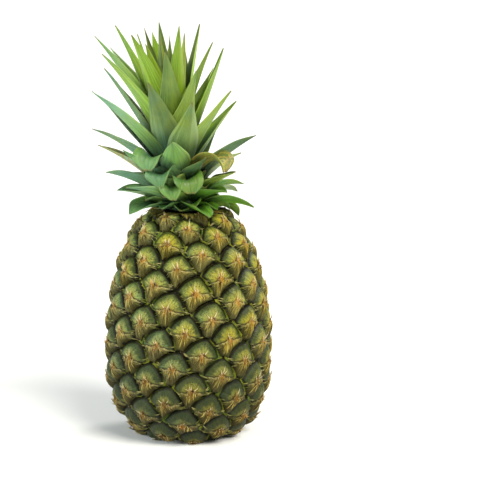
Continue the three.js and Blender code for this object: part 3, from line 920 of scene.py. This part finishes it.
straw = mixed(tree, ripe_and_lit, (0.42, 0.375, 0.145), (0.58, 0.44, 0.035))
side = mixed(tree, own_a, (0.07, 0.11, 0.03), (0.19, 0.22, 0.08))
color = mixed(tree, mask_between(tree, nudged(tree, aside, streaks, 0.25), 0.45, 1.0), straw, side)
foot = mixed(tree, own_b, (0.13, 0.145, 0.055), (0.05, 0.068, 0.014))
color = tinted(tree, color, mask_between(tree, nudged(tree, level, hairs, -0.3), 0.62, 0.08), 0.88, foot)
color = tinted(tree, color, streaks, 0.7, (0.073, 0.046, 0.01))
color = tinted(tree, color, hairs, 0.4, (0.039, 0.025, 0.005))
lip = times(tree, mask_between(tree, level, 0.86, 0.97), nudged(tree, 0.8, hairs, -0.6))
color = mixed(tree, lip, color, (0.62, 0.53, 0.23))
heart = times(tree, mask_between(tree, aside, 0.26, 0.06), mask_between(tree, level, 0.5, 0.85))
heart_color = mixed(tree, streaks, (0.568, 0.227, 0.02), (0.086, 0.025, 0.005))
color = tinted(tree, color, heart, 0.75, heart_color)
color = mixed(tree, mask_between(tree, peak, 0.35, 0.8), color, (0.636, 0.487, 0.184))
color = tinted(tree, color, mask_between(tree, fine, 0.52, 0.66), 0.7, (0.026, 0.017, 0.004))
# painted shade: the bracts low on the fruit are darkened
color = mixed(tree, placed(tree, ripeness_and_painted_light, output=1), color, (0.03, 0.02, 0.006))
finish_material(bract_material, [bract_piece], color, sums(tree, "ADD", streaks, fine), 0.0005)

# %% [markdown]
# ## Dry flower remains
# In the middle of each eye stand the withered tips of the flower: a ring of stiff spikes, orange to dark
# brown with pale ends. A spike is a short bent cone with four sides, which is enough at this size.

# %% Build the dry tips
TIP_COUNT = 9
TIP_LENGTH = 2.8
TIP_RADIUS = 0.32
EYE_RADIUS = 11  # about, so that a width in mm can be given as a share of an eye

tips = Blades()
levels = np.array([0, 0.4, 0.75, 1])[:, None]
width = TIP_RADIUS * (1 - 0.9 * levels) / EYE_RADIUS
ridge = TIP_RADIUS * (1 - levels) * np.array([0, 1, 0])
for eye in whole_eyes:
    for spike in range(TIP_COUNT):
        seed = eye["number"] * TIP_COUNT + spike
        direction = TURN * spike / TIP_COUNT + 0.5 * draw(seed, 30)
        upright = ease(math.sin(direction), 0.2, 0.9)
        length = TIP_LENGTH * (0.7 + 0.4 * draw(seed, 33)) * (1 + upright)
        base = 0.05 + 0.05 * (draw(seed, 31) + 1)
        reach = (0.1 + 0.07 * draw(seed, 32)) * (1 + 1.2 * upright)
        far = base + reach * levels
        turn = direction + np.array([-1, 0, 1]) * width / far
        x, y = far * np.cos(turn), 0.04 + far * np.sin(turn)
        lift = length * levels * (1 - 0.25 * levels) + ridge
        sweep = 0.4 * length * levels**2
        own = own_draws(seed, 34, 35) + [0.5]
        lay_over(tips, eye, x, y, lift, 2 * ridge + 0.05, (0.0, levels, upright), own, sweep)
tip_piece = tips.make("dry_flower_tips")

# %% [markdown]
# ## The colour of the dry tips
# A withered tip is orange or tan, some are nearly black, and all are dark at the root and bleached at the
# end. Thousands of spikes share one material: the draws stored at their points choose each one's colour,
# so none needs a material of its own.

# %% Mix the dry tips' finish
tip_material, tree = new_material("dry_flower_tip", 0.7, 0.15)
_, level, upright, _ = stored(tree, "blade_place")
own_a, own_b, _, _ = stored(tree, "blade_draw")
color = mixed(tree, own_a, (0.495, 0.129, 0.009), (0.54, 0.284, 0.045))
color = mixed(tree, mask_between(tree, own_b, 0.5, 0.65), color, (0.032, 0.01, 0.002))
pale = sums(tree, "MAXIMUM", mask_between(tree, level, 0.5, 1.0), mask_between(tree, upright, 0.2, 0.7))
color = tinted(tree, color, pale, 0.9, (0.76, 0.64, 0.38))
color = mixed(tree, mask_between(tree, level, 0.35, 0.05), color, (0.027, 0.01, 0.003))
finish_material(tip_material, [tip_piece], color, placed(tree, blotches, output=1, Size=0.004), 0.0002)

# %% [markdown]
# ## Frayed fibres
# Old bracts split into fibres. Thin upright threads follow the lower half of each eye and draw together
# towards its middle, where their free ends stand off the skin past the crease. A hair system could grow
# them, but hair isn't part of an exported mesh, so each thread is a narrow closed blade.

# %% Build the frayed fibres
FIBRE_COUNT = 12
FIBRE_ROWS = 6
FIBRE_HALF = 0.02
FIBRE_THICKNESS = 0.26
FIBRE_SPREAD = 1.3  # from the first to the last, as x
FIBRE_START = 0.62  # how far under the middle of an eye, as y
FIBRE_GATHER = 0.45  # how far they draw together
THREE_ACROSS = np.array([-1, 0, 1])

frays = Blades()
level = np.linspace(0, 1, FIBRE_ROWS)[:, None]
for eye in whole_eyes:
    for strip in range(FIBRE_COUNT):
        seed = eye["number"] * FIBRE_COUNT + strip
        start_x = FIBRE_SPREAD * ((strip + 0.5) / FIBRE_COUNT - 0.5) + 0.06 * draw(seed, 60)
        start_y = (0.26 * draw(seed, 61) - FIBRE_START) * math.sqrt(1 - start_x**2)
        end_y = crease_height(start_x) + 0.02 + 0.12 * draw(seed, 62)
        end_y += 0.12 * (1 - 2 * abs(start_x) / FIBRE_SPREAD)
        half = FIBRE_HALF * (1 + 0.4 * draw(seed, 64)) * np.sin(np.pi * (0.1 + 0.87 * level))
        x = start_x * (1 - FIBRE_GATHER * level) + 0.06 * draw(seed, 63) * level**2 + half * THREE_ACROSS
        y = start_y + (end_y - start_y) * level + 0 * x
        lift = 0.3 + (0.9 + 0.9 * draw(seed, 65)) * level**5 + np.array([0, 0.15, 0])
        own = own_draws(seed, 66, 67, 68)
        lay_over(frays, eye, x, y, lift, FIBRE_THICKNESS, (THREE_ACROSS, level, 0.0), own)
fray_piece = frays.make("frayed_fibres")

# %% [markdown]
# ## The colour of the fibres
# A loose fibre is straw, about half of them are dark, and each is green-brown where it is still stuck to
# the bract and pale at its free end. The map says how far along a fibre a point lies, so root and end get
# their own colours.

# %% Mix the fibres' finish
fray_material, tree = new_material("frayed_fibre", 0.65, 0.15)
_, level, _, _ = stored(tree, "blade_place")
own_a, own_b, _, _ = stored(tree, "blade_draw")
color = mixed(tree, own_a, (0.2, 0.165, 0.04), (0.52, 0.4, 0.1))
color = mixed(tree, mask_between(tree, own_b, 0.45, 0.55), color, (0.036, 0.022, 0.005))
color = tinted(tree, color, mask_between(tree, level, 0.7, 1.0), 0.8, (0.63, 0.482, 0.202))
color = mixed(tree, mask_between(tree, level, 0.3, 0.0), color, (0.063, 0.065, 0.014))
finish_material(fray_material, [fray_piece], color, placed(tree, blotches, output=1, Size=0.004), 0.0002)

# %% [markdown]
# ## Green fringes in the furrows
# The saw-toothed margins of the bracts lie in the furrows. Over the arch of an eye they are narrow and
# dark, and they widen to a green tuft at its sides, where three furrows meet. Each half of a fringe is a
# strip of three points across that follows the furrow from the top of the arch down to the side.

# %% Build the fringes
FRINGE_FROM, FRINGE_TO = math.radians(86), math.radians(-12)
FRINGE_STEPS = 19
FRINGE_START = 0.93  # as a share of the way to the furrow
FRINGE_HEIGHT = 1.7
FRINGE_WIDTH = 0.17
FRINGE_THICKNESS = 0.3
ACROSS_FRINGE = np.array([0, 0.5, 1])

fringes = Blades()
level = np.linspace(0, 1, FRINGE_STEPS)[:, None]
every_second = np.where(np.arange(FRINGE_STEPS) % 2, 1.0, 0.35)[:, None]
for eye in whole_eyes:
    for hand in (-1, 1):
        seed = 2 * eye["number"] + hand
        direction = FRINGE_FROM + (FRINGE_TO - FRINGE_FROM) * level + 0.05 * draw(seed, 40)
        inner = FRINGE_START + 0.02 * draw(seed, 41) + 0.02 * np.sin(9 * level + 4 * draw(seed, 45))
        tooth = every_second * (0.8 + 0.3 * draw(seed + level * 7, 42))
        tuft = ease(level, 0.35 + 0.2 * draw(seed, 46), 0.85) * ease(level, 1.0, 0.9)
        fade = (0.15 + 0.95 * tuft) * (1 + 0.3 * np.sin(13 * level + 6 * draw(seed, 47)))
        share = inner + FRINGE_WIDTH * fade * ACROSS_FRINGE
        lift = 0.3 + FRINGE_HEIGHT * fade * np.array([0.1, 0.6, 1]) * np.where(ACROSS_FRINGE < 1, 1, tooth)
        x, y = hand * share * np.cos(direction), share * np.sin(direction)
        place, own = (ACROSS_FRINGE, level, 0.0), own_draws(seed, 43, 44) + [tuft]
        lay_over(fringes, eye, x, y, lift, FRINGE_THICKNESS, place, own, turned=hand > 0)
print(2 * len(whole_eyes), "strips of fringe")

# %% [markdown]
# Where the furrows meet at the sides of an eye, the margins end in slender pale points that cross to the
# next eye. They are added to the same mesh, with a third number of 1 that tells the finish to make them
# pale.

# %% Build the side points
POINT_COUNT = 4
POINT_STEPS = 6
POINT_HALF = 0.036
POINT_START = 0.72  # as a share of the way to the furrow
POINT_REACH = 0.36

level = np.linspace(0, 1, POINT_STEPS)[:, None]
half = POINT_HALF * (1 - level) + 0.004
for eye in whole_eyes:
    for spike in range(2 * POINT_COUNT):
        seed = eye["number"] * 2 * POINT_COUNT + spike
        hand = 1 if spike % 2 else -1
        direction = math.radians(-6 + 20 * draw(seed, 70)) + 0.12 * draw(seed, 71) * level
        share = POINT_START + (POINT_REACH + 0.14 * draw(seed, 72)) * level
        y = share * np.sin(direction) + half * THREE_ACROSS
        x = hand * share * np.cos(direction) + 0 * y
        lift = 0.3 + (1.1 + 0.6 * draw(seed, 73)) * level + np.array([0, 0.2, 0])
        place, own = (ACROSS_FRINGE, level, 1.0), own_draws(seed, 74, 75) + [0.5]
        lay_over(fringes, eye, x, y, lift, FRINGE_THICKNESS, place, own)
fringe_piece = fringes.make("green_fringes")

# %% [markdown]
# ## The colour of the fringes
# The margins are green only in patches, where they are still alive. Elsewhere they are nearly black:
# partly dead margins, and partly the painted shade of the furrows they lie in. Painting each tooth would
# need a picture, so blotches choose the patches by place, and the stored strength of the tuft says how
# bright they may turn. The side points run from dark at the root to green or straw.

# %% Mix the fringes' finish
fringe_material, tree = new_material("green_fringe", 0.5, 0.15)
across, level, point, _ = stored(tree, "blade_place")
own_a, own_b, tuft, _ = stored(tree, "blade_draw")
fine = placed(tree, blotches, output=1, Size=0.004)
patch = placed(tree, blotches, Size=0.013, Low=0.4, High=0.55)
bright = times(tree, nudged(tree, 0.15, tuft, 0.85), patch)
green = mixed(tree, own_a, (0.07, 0.15, 0.01), (0.26, 0.29, 0.01))
# painted shade: the dull margins are nearly black, partly their own colour and partly the shade of the
# furrow
color = mixed(tree, bright, (0.014, 0.013, 0.003), green)
color = mixed(tree, mask_between(tree, fine, 0.48, 0.62), color, (0.03, 0.024, 0.006))
edge = times(tree, mask_between(tree, across, 0.3, 1.0), bright)
color = tinted(tree, color, edge, 0.4, (0.42, 0.4, 0.06))
thorn = mixed(tree, own_b, (0.2, 0.24, 0.02), (0.6, 0.5, 0.24))
thorn = mixed(tree, mask_between(tree, level, 0.1, 0.8), (0.1, 0.1, 0.02), thorn)
color = mixed(tree, point, color, thorn)
finish_material(fringe_material, [fringe_piece], color, fine, 0.0002)

# %% [markdown]
# ## The collar of dry scales
# Where the fruit closes under the crown, its last bracts are small dry scales that crowd round the seat.
# Each is rooted at the edge of the seat, lies out over the skin and lifts off it, so the scales fill the
# narrow gap under the crown's lowest leaves. They are blades like the bracts, and share their finish.

# %% Build the collar
COLLAR_SCALES = 44
SCALE_LENGTH = 12
SCALE_WIDTH = 7
SCALE_ROWS = 7
SCALE_COLUMNS = 5
SCALE_THICKNESS = 0.4
SCALE_LIFT = 4.4
FIRST_SCALE_DRAW = 300

collar = Blades()
level = np.linspace(0, 1, SCALE_ROWS)[:, None]
u = np.linspace(-1, 1, SCALE_COLUMNS)
for scale in range(COLLAR_SCALES):
    seed = FIRST_SCALE_DRAW + scale
    angle = scale * GOLDEN_ANGLE + 0.1 * draw(seed, 1)
    length = SCALE_LENGTH * (1 + 0.25 * draw(seed, 2)) * level
    from_seat = OUTLINE["length"][-1] - length
    rise, radius = [outline_where("length", from_seat, name) for name in ("rise", "r")]
    half = SCALE_WIDTH / 2 * (1 + 0.25 * draw(seed, 3)) * (1 - level**1.6) + 0.15
    angles = angle + (half * u + 2.5 * draw(seed, 4) * level**2) / radius
    point, out, _, _ = skin_frame(np.stack([angles, rise + 0 * angles], -1))
    lift = 0.3 + SCALE_LIFT * ease(length, 1, SEAT_FADE) + (0.4 + 0.5 * draw(seed, 5)) * level**3
    lift = lift - 0.5 * u**2 * (1 - level)
    collar.add(
        point + out * lift[..., None],
        point + out * (lift - SCALE_THICKNESS)[..., None],
        blade_place=(u, 0.4 + 0.5 * level, 0.0),
        blade_draw=own_draws(seed, 6, 7, 8),
    )
collar_piece = collar.make("seat_scales")
collar_piece.data.materials.append(bract_material)

# %% [markdown]
# ## The crown
# The crown's leaves sit on a short stem. Low leaves lie out over the shoulder, the next arch up and out,
# and the innermost stand upright. Each follows one smooth curve from the stem to its tip, and the middle
# of the crown drifts to the left as it rises. Bent copies of one leaf would all look the same, and here
# length, width and tilt all change from the foot to the top, so each leaf is grown along a line of its
# own.

# %% State how the leaves change up the crown
LEAF_COUNT = 66
FIRST_LEAF_ANGLE = 0.35
CROWN_HEIGHT = 145
CROWN_STEP = 9
CROWN_STEP_HEIGHT = 15
CROWN_LEAN = 18
STEM_HEIGHT = 50
STEM_RADII = [15.5, 16, 14, 10, 6]
LEAF_CLEARANCE = 0.6
ROOT_DEPTH = 3
LEAF_THICKNESS = 1.8
LEAF_CHANNEL = 0.23
LEAF_NARROWING = 0.87  # by its channel
LEAF_ROOT_HEIGHT = [1.2, 5, 12, 21, 30, 38, 44, 48]
LEAF_ROOT_TILT = [86, 62, 54, 44, 33, 22, 13, 3]
LEAF_TIP_HEIGHT = [-6, 16, 35, 58, 90, 122, 143, 130]
LEAF_TIP_RADIUS = [43, 56, 58, 57, 57, 54, 39, 9]
LEAF_WIDTH = [21, 24, 25, 26, 27, 28, 26, 16]
LEAF_BOW = [0.62, 0.62, 0.58, 0.54, 0.5, 0.5, 0.5, 0.5]
ROLLED_LEAVES = {7: 24, 15: 26, 20: 25, 31: 34, 33: 27}
ROLL_RISE = 30
ROLL_TIP = 8
CROWN_FOOT = SEAT_HEIGHT + GAP


def crown_shift(height):
    """How far the middle of the crown lies to the left, at a height over the seat."""
    h = np.maximum(0, height)
    return CROWN_STEP * (1 - np.exp(-h / CROWN_STEP_HEIGHT)) + CROWN_LEAN * (h / CROWN_HEIGHT) ** 2


print("the crown's top lies", round(float(crown_shift(CROWN_HEIGHT)), 1), "mm to the left")

# %% Draw a leaf's middle line
def leaf_line(number):
    """Root, bend and tip of a leaf, as (outwards, up)."""
    share = number / (LEAF_COUNT - 1)
    tilt = math.radians(along(LEAF_ROOT_TILT, share) + 6 * draw(number, 2))
    root_height = along(LEAF_ROOT_HEIGHT, share)
    root_radius = max(0.5, along(STEM_RADII, root_height / STEM_HEIGHT) - ROOT_DEPTH)
    root = np.array([root_radius, root_height])
    if number in ROLLED_LEAVES:
        out = root_radius + ROLLED_LEAVES[number]
        return root, np.array([out, root_height + ROLL_RISE]), np.array([out, root_height + ROLL_TIP])
    tip = np.array(
        [
            along(LEAF_TIP_RADIUS, share) * (1 + 0.14 * draw(number, 3)),
            along(LEAF_TIP_HEIGHT, share) + 5 * draw(number, 4),
        ]
    )
    run = np.hypot(*(tip - root)) * along(LEAF_BOW, share)
    return root, root + run * np.array([math.sin(tilt), math.cos(tilt)]), tip


def crest_height(radius):
    """Tops of the eyes over the crown's foot, at a distance from the axis."""
    peak = EYE_HEIGHT * (1 + EYE_STRAY) + 1.2
    lift = peak * ease(radius, SEAT_RADIUS, SEAT_RADIUS + SEAT_FADE)
    reach = np.minimum(1, np.maximum(radius, SEAT_RADIUS) / (FRUIT_RADIUS + peak))
    bend, roundness = SHOULDER_BEND
    top = WIDEST_AT + (FRUIT_TOP + lift - WIDEST_AT) * (1 - reach**roundness) ** (1 / bend)
    return top - CROWN_FOOT


print("leaf 0 runs from", *[p.round(1) for p in leaf_line(0)])

# %% [markdown]
# The blade is a channel: its edges stand higher than its keel. It is widest at a third of its length and
# runs out in a straight taper to a sharp tip. Its width follows a smooth curve through a few stated
# shares, and the edges wave a little, as on a leaf that has lost some water.

# %% State a leaf's outline
LEAF_ROWS = 42
LEAF_COLUMNS = 11
WIDTH_AT = [0, 0.16, 0.36, 0.62, 0.84, 1]
LEAF_OUTLINE = [0.45, 0.86, 0.96, 0.62, 0.29, 0.02]
LOW_LEAF_OUTLINE = [0.45, 0.86, 0.96, 0.86, 0.6, 0.1]
ROLLED_OUTLINE = [0.42, 0.88, 1, 1, 1, 0.9]
LEAST_WIDTH = 0.012


def smooth_width(outline, t):
    """A cubic curve through the stated widths, with slopes that match from piece to piece."""
    at, value = np.array(WIDTH_AT), np.array(outline)
    slope = np.gradient(value, at)
    i = np.clip(np.searchsorted(at, t) - 1, 0, len(at) - 2)
    span = at[i + 1] - at[i]
    s = (t - at[i]) / span
    start = (1 + 2 * s) * (1 - s) ** 2 * value[i] + s * (1 - s) ** 2 * span * slope[i]
    end = s * s * (3 - 2 * s) * value[i + 1] + s * s * (s - 1) * span * slope[i + 1]
    return np.maximum(start + end, LEAST_WIDTH)


print("a leaf's widths", smooth_width(LEAF_OUTLINE, np.linspace(0, 1, 6)).round(2))

# %% Find the middle of a curved leaf
ANGLE_STRAY = 0.09
LEAF_SWAY = 0.1
LEAF_TWIST = 0.45


def leaf_middle(number, line, t):
    """Points down the middle of a leaf, and the directions across it and into its hollow."""
    root, bend, tip = line
    curve = ((1 - t) ** 2)[:, None] * root + (2 * t * (1 - t))[:, None] * bend + (t * t)[:, None] * tip
    run = (1 - t)[:, None] * (bend - root) + t[:, None] * (tip - bend)
    run /= np.hypot(run[:, 0], run[:, 1])[:, None]
    angle = FIRST_LEAF_ANGLE + number * GOLDEN_ANGLE + ANGLE_STRAY * draw(number, 5)
    out = np.array([math.cos(angle), math.sin(angle), 0])
    side = np.array([-math.sin(angle), math.cos(angle), 0])
    sway = LEAF_SWAY * draw(number, 7) * np.hypot(*(tip - root))
    middle = curve[:, :1] * out + (sway * t * t)[:, None] * side
    middle += np.stack([-crown_shift(curve[:, 1]), 0 * t, curve[:, 1]], -1)
    forward = run[:, :1] * out + run[:, 1:] * np.array([0, 0, 1])
    twist = (LEAF_TWIST * draw(number, 8) * t)[:, None]
    across = side * np.cos(twist) + np.cross(forward, side) * np.sin(twist)
    return middle, across, np.cross(forward, across)


print("the tip of leaf 50 lies at", leaf_middle(50, leaf_line(50), np.array([1.0]))[0].round(1))

# %% Grow a leaf
EDGE_WAVE = 0.35


def grow_leaf(blades, number, line, width, outline, rows, columns, own, young):
    """Add a leaf along its line. Its own two draws and how young it is go into its map."""
    t = np.linspace(0, 1, rows)
    u = np.linspace(-1, 1, columns)
    middle, across, inward = leaf_middle(number, line, t)
    half = width * (1 + 0.1 * draw(number, 6)) / 2 * smooth_width(outline, t)
    if number in ROLLED_LEAVES:
        half = half * np.sqrt(1 - 0.97 * ease(t, 0.66, 1.04) ** 2)
    wave = EDGE_WAVE * np.sin(11 * t + 4 * draw(number, 50))[:, None] * u**2 * np.sign(u)
    lift = 2 * half[:, None] * LEAF_CHANNEL * np.abs(u) ** 1.5 + wave * ease(t, 0.1, 0.4)[:, None]
    thick = LEAF_THICKNESS * (1 - 0.55 * t)[:, None] * (1 - 0.72 * np.abs(u) ** 1.6) / 2
    spread = middle[:, None] + across[:, None] * (LEAF_NARROWING * half[:, None] * u)[..., None]
    faces = np.stack([spread + inward[:, None] * (lift + way * thick)[..., None] for way in (1, -1)])
    lack = crest_height(np.hypot(faces[..., 0], faces[..., 1])) + LEAF_CLEARANCE - faces[..., 2]
    faces[..., 2] += np.maximum(0, lack.max(axis=(0, 2)))[:, None] + CROWN_FOOT
    hollow = np.array([1.0, 0.0])[:, None, None]
    blades.add(*faces, leaf_place=(u, t[:, None], hollow), leaf_draw=(*own, young))


def leaf_draws(number):
    """A leaf's own two draws: how dark and how yellow it is."""
    return [draw(number, 51) / 2 + 0.5, 0.4 + 0.4 * draw(number, 52)]


print("how dark and how yellow leaf 50 is:", np.round(leaf_draws(50), 2))

# %% Build the long leaves
WITHERED_LEAVES = (31, 22)
WITHERED_DRAWS = [0.3, 1]
ROLLED_DRAWS = [0.55, 0.3]

leaves = Blades()
for number in range(LEAF_COUNT):
    share = number / (LEAF_COUNT - 1)
    blunt = 1 - ease(share, 0.05, 0.2)
    outline = blunt * np.array(LOW_LEAF_OUTLINE) + (1 - blunt) * np.array(LEAF_OUTLINE)
    own = leaf_draws(number)
    if number in ROLLED_LEAVES:
        outline, own = ROLLED_OUTLINE, ROLLED_DRAWS
    if number in WITHERED_LEAVES:
        own = WITHERED_DRAWS
    width = along(LEAF_WIDTH, share)
    grow_leaf(leaves, number, leaf_line(number), width, outline, LEAF_ROWS, LEAF_COLUMNS, own, share)
crown_leaves = leaves.make("crown_leaves")
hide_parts("crown")

# %% [markdown]
# ## Short leaves at the crown's foot
# The lowest leaves of a crown stay short. They are broad and blunt, hug the shoulder of the fruit and
# hide the stem between them. They follow the same rule as the long ones, with lengths and tilts of their
# own, so the same function makes them.

# %% Build the short leaves
FOOT_LEAVES = 34
FOOT_TILT = [90, 70, 42, 26]
FOOT_HEIGHT = [1.0, 2.5, 6, 14]
FOOT_LEAF_LENGTH = [18, 20, 23, 25]
FOOT_RISE = [-0.3, 0.05, 0.58, 0.84]
FOOT_WIDTH = [13, 17, 23, 25]
BLUNT_OUTLINE = [0.6, 0.92, 1, 0.92, 0.7, 0.12]
FOOT_LEAF_ROWS = 16
FOOT_LEAF_COLUMNS = 7
FIRST_FOOT_DRAW = 200

foot_leaves = Blades()
for number in range(FOOT_LEAVES):
    share = number / (FOOT_LEAVES - 1)
    seed = FIRST_FOOT_DRAW + number
    root_height = along(FOOT_HEIGHT, share)
    root = np.array([along(STEM_RADII, root_height / STEM_HEIGHT) - ROOT_DEPTH, root_height])
    length = along(FOOT_LEAF_LENGTH, share) * (1 + 0.16 * draw(seed, 3))
    tilt = math.radians(along(FOOT_TILT, share) + 7 * draw(seed, 2))
    bend = root + 0.6 * length * np.array([math.sin(tilt), math.cos(tilt)])
    rise = along(FOOT_RISE, share) + 0.1 * draw(seed, 4)
    line = (root, bend, root + length * np.array([math.sqrt(1 - rise**2), rise]))
    size = (along(FOOT_WIDTH, share), BLUNT_OUTLINE, FOOT_LEAF_ROWS, FOOT_LEAF_COLUMNS)
    grow_leaf(foot_leaves, seed, line, *size, leaf_draws(seed), 0.3 * share)
short_leaves = foot_leaves.make("short_crown_leaves")

# %% [markdown]
# ## The crown's stem
# The stem is nearly hidden. It shows as a dark green core between the leaf bases, ringed by the scars of
# leaves that dried and fell, so it is turned from a profile and its rings are pushed in and out a little.

# %% Build the crown's stem
STEM_SIDES = 48
STEM_RINGS = 40
STEM_SLACK = 0.8  # so that the leaves' roots lie a little proud of it
SCAR_DEPTH = 0.35

height = np.linspace(0, STEM_HEIGHT, STEM_RINGS)[:, None]
angle = np.linspace(0, TURN, STEM_SIDES, endpoint=False)
scars = SCAR_DEPTH * np.sin(height * 1.9 + 2 * np.sin(3 * angle))
radius = along(STEM_RADII, height / STEM_HEIGHT) - STEM_SLACK + scars
x, y = radius * np.cos(angle) - crown_shift(height), radius * np.sin(angle)
stem_points = np.stack([x, y, CROWN_FOOT + height + 0 * angle], -1).reshape(-1, 3)
crown_stem = make_piece("crown_stem", stem_points, capped_rings(STEM_RINGS, STEM_SIDES))

# %% [markdown]
# ## The cut end of the stalk
# Under the fruit, the stalk was cut level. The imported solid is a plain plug, so this one gets a slightly
# uneven rim and a finely divided face, on which the material draws the ends of the fibres.

# %% Build the stalk
STALK_DEPTH = 10
STALK_SIDES = 72
STALK_FACE = [(0.35, 0), (4, 0), (8, 0), (11.4, 0), (12.2, 0.05), (12.8, 0.4)]
STALK_PROFILE = STALK_FACE + [(STALK_RADIUS, z) for z in (1, 5, STALK_DEPTH)]

angle = np.linspace(0, TURN, STALK_SIDES, endpoint=False)
uneven = 1 - 0.012 * (1 + np.sin(5 * angle + 1) * np.sin(3 * angle))
radius, height = np.array(STALK_PROFILE).T[..., None]
x, y = radius * uneven * np.cos(angle), radius * uneven * np.sin(angle)
stalk_points = np.stack([x, y, height + 0 * angle], -1).reshape(-1, 3)
stalk = make_piece("cut_stalk", stalk_points, capped_rings(len(STALK_PROFILE), STALK_SIDES))
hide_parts("stalk")

# %% [markdown]
# ## The colour of a leaf
# The old leaves, low in the crown, are deep green, and the young ones at the top are yellow-green. A
# bloom lies thickest between them. The side away from the key lamp is painted bluer and more powdery, a
# painted cool sheen. Some leaves and some hollow faces are painted darker as shade, fine veins run along
# every blade, the root and the hollow of the channel are painted dark as shade, and the tip is dry and
# brown. One material holds all of this, because the numbers stored at the points say how old a leaf is
# and where on it a point lies.

# %% Mix the greens of the leaves
leaf_material, tree = new_material("crown_leaf", 0.42)
across, level, face, place = stored(tree, "leaf_place")
own_a, own_b, young, _ = stored(tree, "leaf_draw")
lit_side = placed(tree, ripeness_and_painted_light, Own=0.6)
# painted light: the side away from the key lamp is painted bluer, a cool sheen
shaded = mask_between(tree, lit_side, 0.85, 0.5)
aside = sums(tree, "ABSOLUTE", across)
green = mixed(tree, mask_between(tree, young, 0.15, 0.7), (0.16, 0.39, 0.022), (0.35, 0.57, 0.01))
green = mixed(tree, mask_between(tree, own_b, 0.5, 0.85), green, (0.44, 0.54, 0.05))
green = tinted(tree, green, shaded, 0.65, (0.14, 0.4, 0.16))
# painted shade: some leaves, and the hollow faces of others, are painted dark green as if in shadow, less
# on the side away from the key lamp
shaded_leaf = times(tree, mask_between(tree, own_a, 0.4, 0.62), mask_between(tree, young, 0.95, 0.7))
shaded_face = times(tree, face, mask_between(tree, own_b, 0.15, 0.45))
dark = times(tree, sums(tree, "MAXIMUM", shaded_leaf, shaded_face), mask_between(tree, young, 0.05, 0.3))
dark = times(tree, dark, nudged(tree, 0.1, lit_side, 0.9))
green = tinted(tree, green, dark, 0.9, (0.014, 0.042, 0.004))
veins = placed(tree, fibres, Place=place, Count=7.0, Length=0.5, Seed=own_b)
green = tinted(tree, green, veins, 0.55, (0.04, 0.12, 0.006))
yellow = placed(tree, blotches, Size=0.03, Low=0.42, High=0.62, Seed=2.0)
green = tinted(tree, green, yellow, 0.3, (0.36, 0.42, 0.04))
# painted shade: the hollow of each leaf's channel is darkened
hollow = times(tree, face, mask_between(tree, aside, 0.9, 0.3))
green = tinted(tree, green, hollow, mask_between(tree, level, 0.95, 0.35), (0.011, 0.04, 0.003))
# painted shade: the root of each leaf, deep in the crown, is darkened
green = tinted(tree, green, mask_between(tree, level, 0.55, 0.2), 0.85, (0.012, 0.042, 0.003))
old_face = times(tree, face, mask_between(tree, young, 0.45, 0.2))
green = tinted(tree, green, old_face, 0.22, (0.02, 0.075, 0.005))
print("leaf greens have", len(tree.nodes), "nodes")

# %% Add the bloom, the edges and the dry tips
thick = times(tree, mask_between(tree, young, 0.12, 0.4), mask_between(tree, young, 0.9, 0.5))
# the bloom is real; on the side away from the key lamp more of it is painted as a cool sheen
powder = nudged(tree, nudged(tree, 0.03, thick, 0.17), shaded, 0.3)
powder = times(tree, powder, nudged(tree, 1.0, face, -0.5))
color = placed(tree, bloom, Color=green, Bloom=(0.25, 0.5, 0.45, 1), Amount=powder, Size=0.025)
color = tinted(tree, color, mask_between(tree, aside, 0.88, 1.0), 0.15, (0.42, 0.42, 0.16))
fine = placed(tree, blotches, output=1, Size=0.02)
dry = nudged(tree, nudged(tree, level, own_b, 0.06), fine, 0.12)
color = mixed(tree, mask_between(tree, dry, 1.03, 1.12), color, (0.26, 0.17, 0.05))
wilted = mixed(tree, veins, (0.4, 0.36, 0.06), (0.2, 0.13, 0.03))
stains = times(tree, mask_between(tree, own_b, 0.9, 1.0), mask_between(tree, fine, 0.35, 0.6))
color = mixed(tree, stains, color, wilted)
leaf_pieces = [crown_leaves, crown_stem, short_leaves]
finish_material(leaf_material, leaf_pieces, color, veins, 0.0005, nudged(tree, 0.36, powder, 0.4))

# %% [markdown]
# ## The cut face of the stalk
# Cut across, the stalk is pale and corky, with the ends of fibre bundles as small darker dots and a brown
# dried rim. A Voronoi texture draws the dots, since its cells lie scattered and yet evenly apart, as the
# bundles do.

# %% Mix the stalk's finish
stalk_material, tree = new_material("cut_stalk", 0.85)
where = node(tree, "ShaderNodeTexCoord").outputs["Object"]
dots = node(tree, "ShaderNodeTexVoronoi", {"Vector": where, "Scale": 900.0}).outputs["Distance"]
mottle = placed(tree, blotches, Size=0.006, Low=0.3, High=0.7)
fine = placed(tree, blotches, output=1, Size=0.006)
color = mixed(tree, mottle, (0.62, 0.47, 0.24), (0.74, 0.62, 0.38))
color = mixed(tree, mask_between(tree, dots, 0.35, 0.15), color, (0.35, 0.22, 0.09))
flat = vector_of(tree, *parts_of(tree, where)[:2])
from_axis = node(tree, "ShaderNodeVectorMath", {0: flat}, operation="LENGTH").outputs["Value"]
color = mixed(tree, mask_between(tree, from_axis, 0.0112, 0.0126), color, (0.24, 0.14, 0.06))
finish_material(stalk_material, [stalk], color, sums(tree, "ADD", fine, dots), 0.0003)
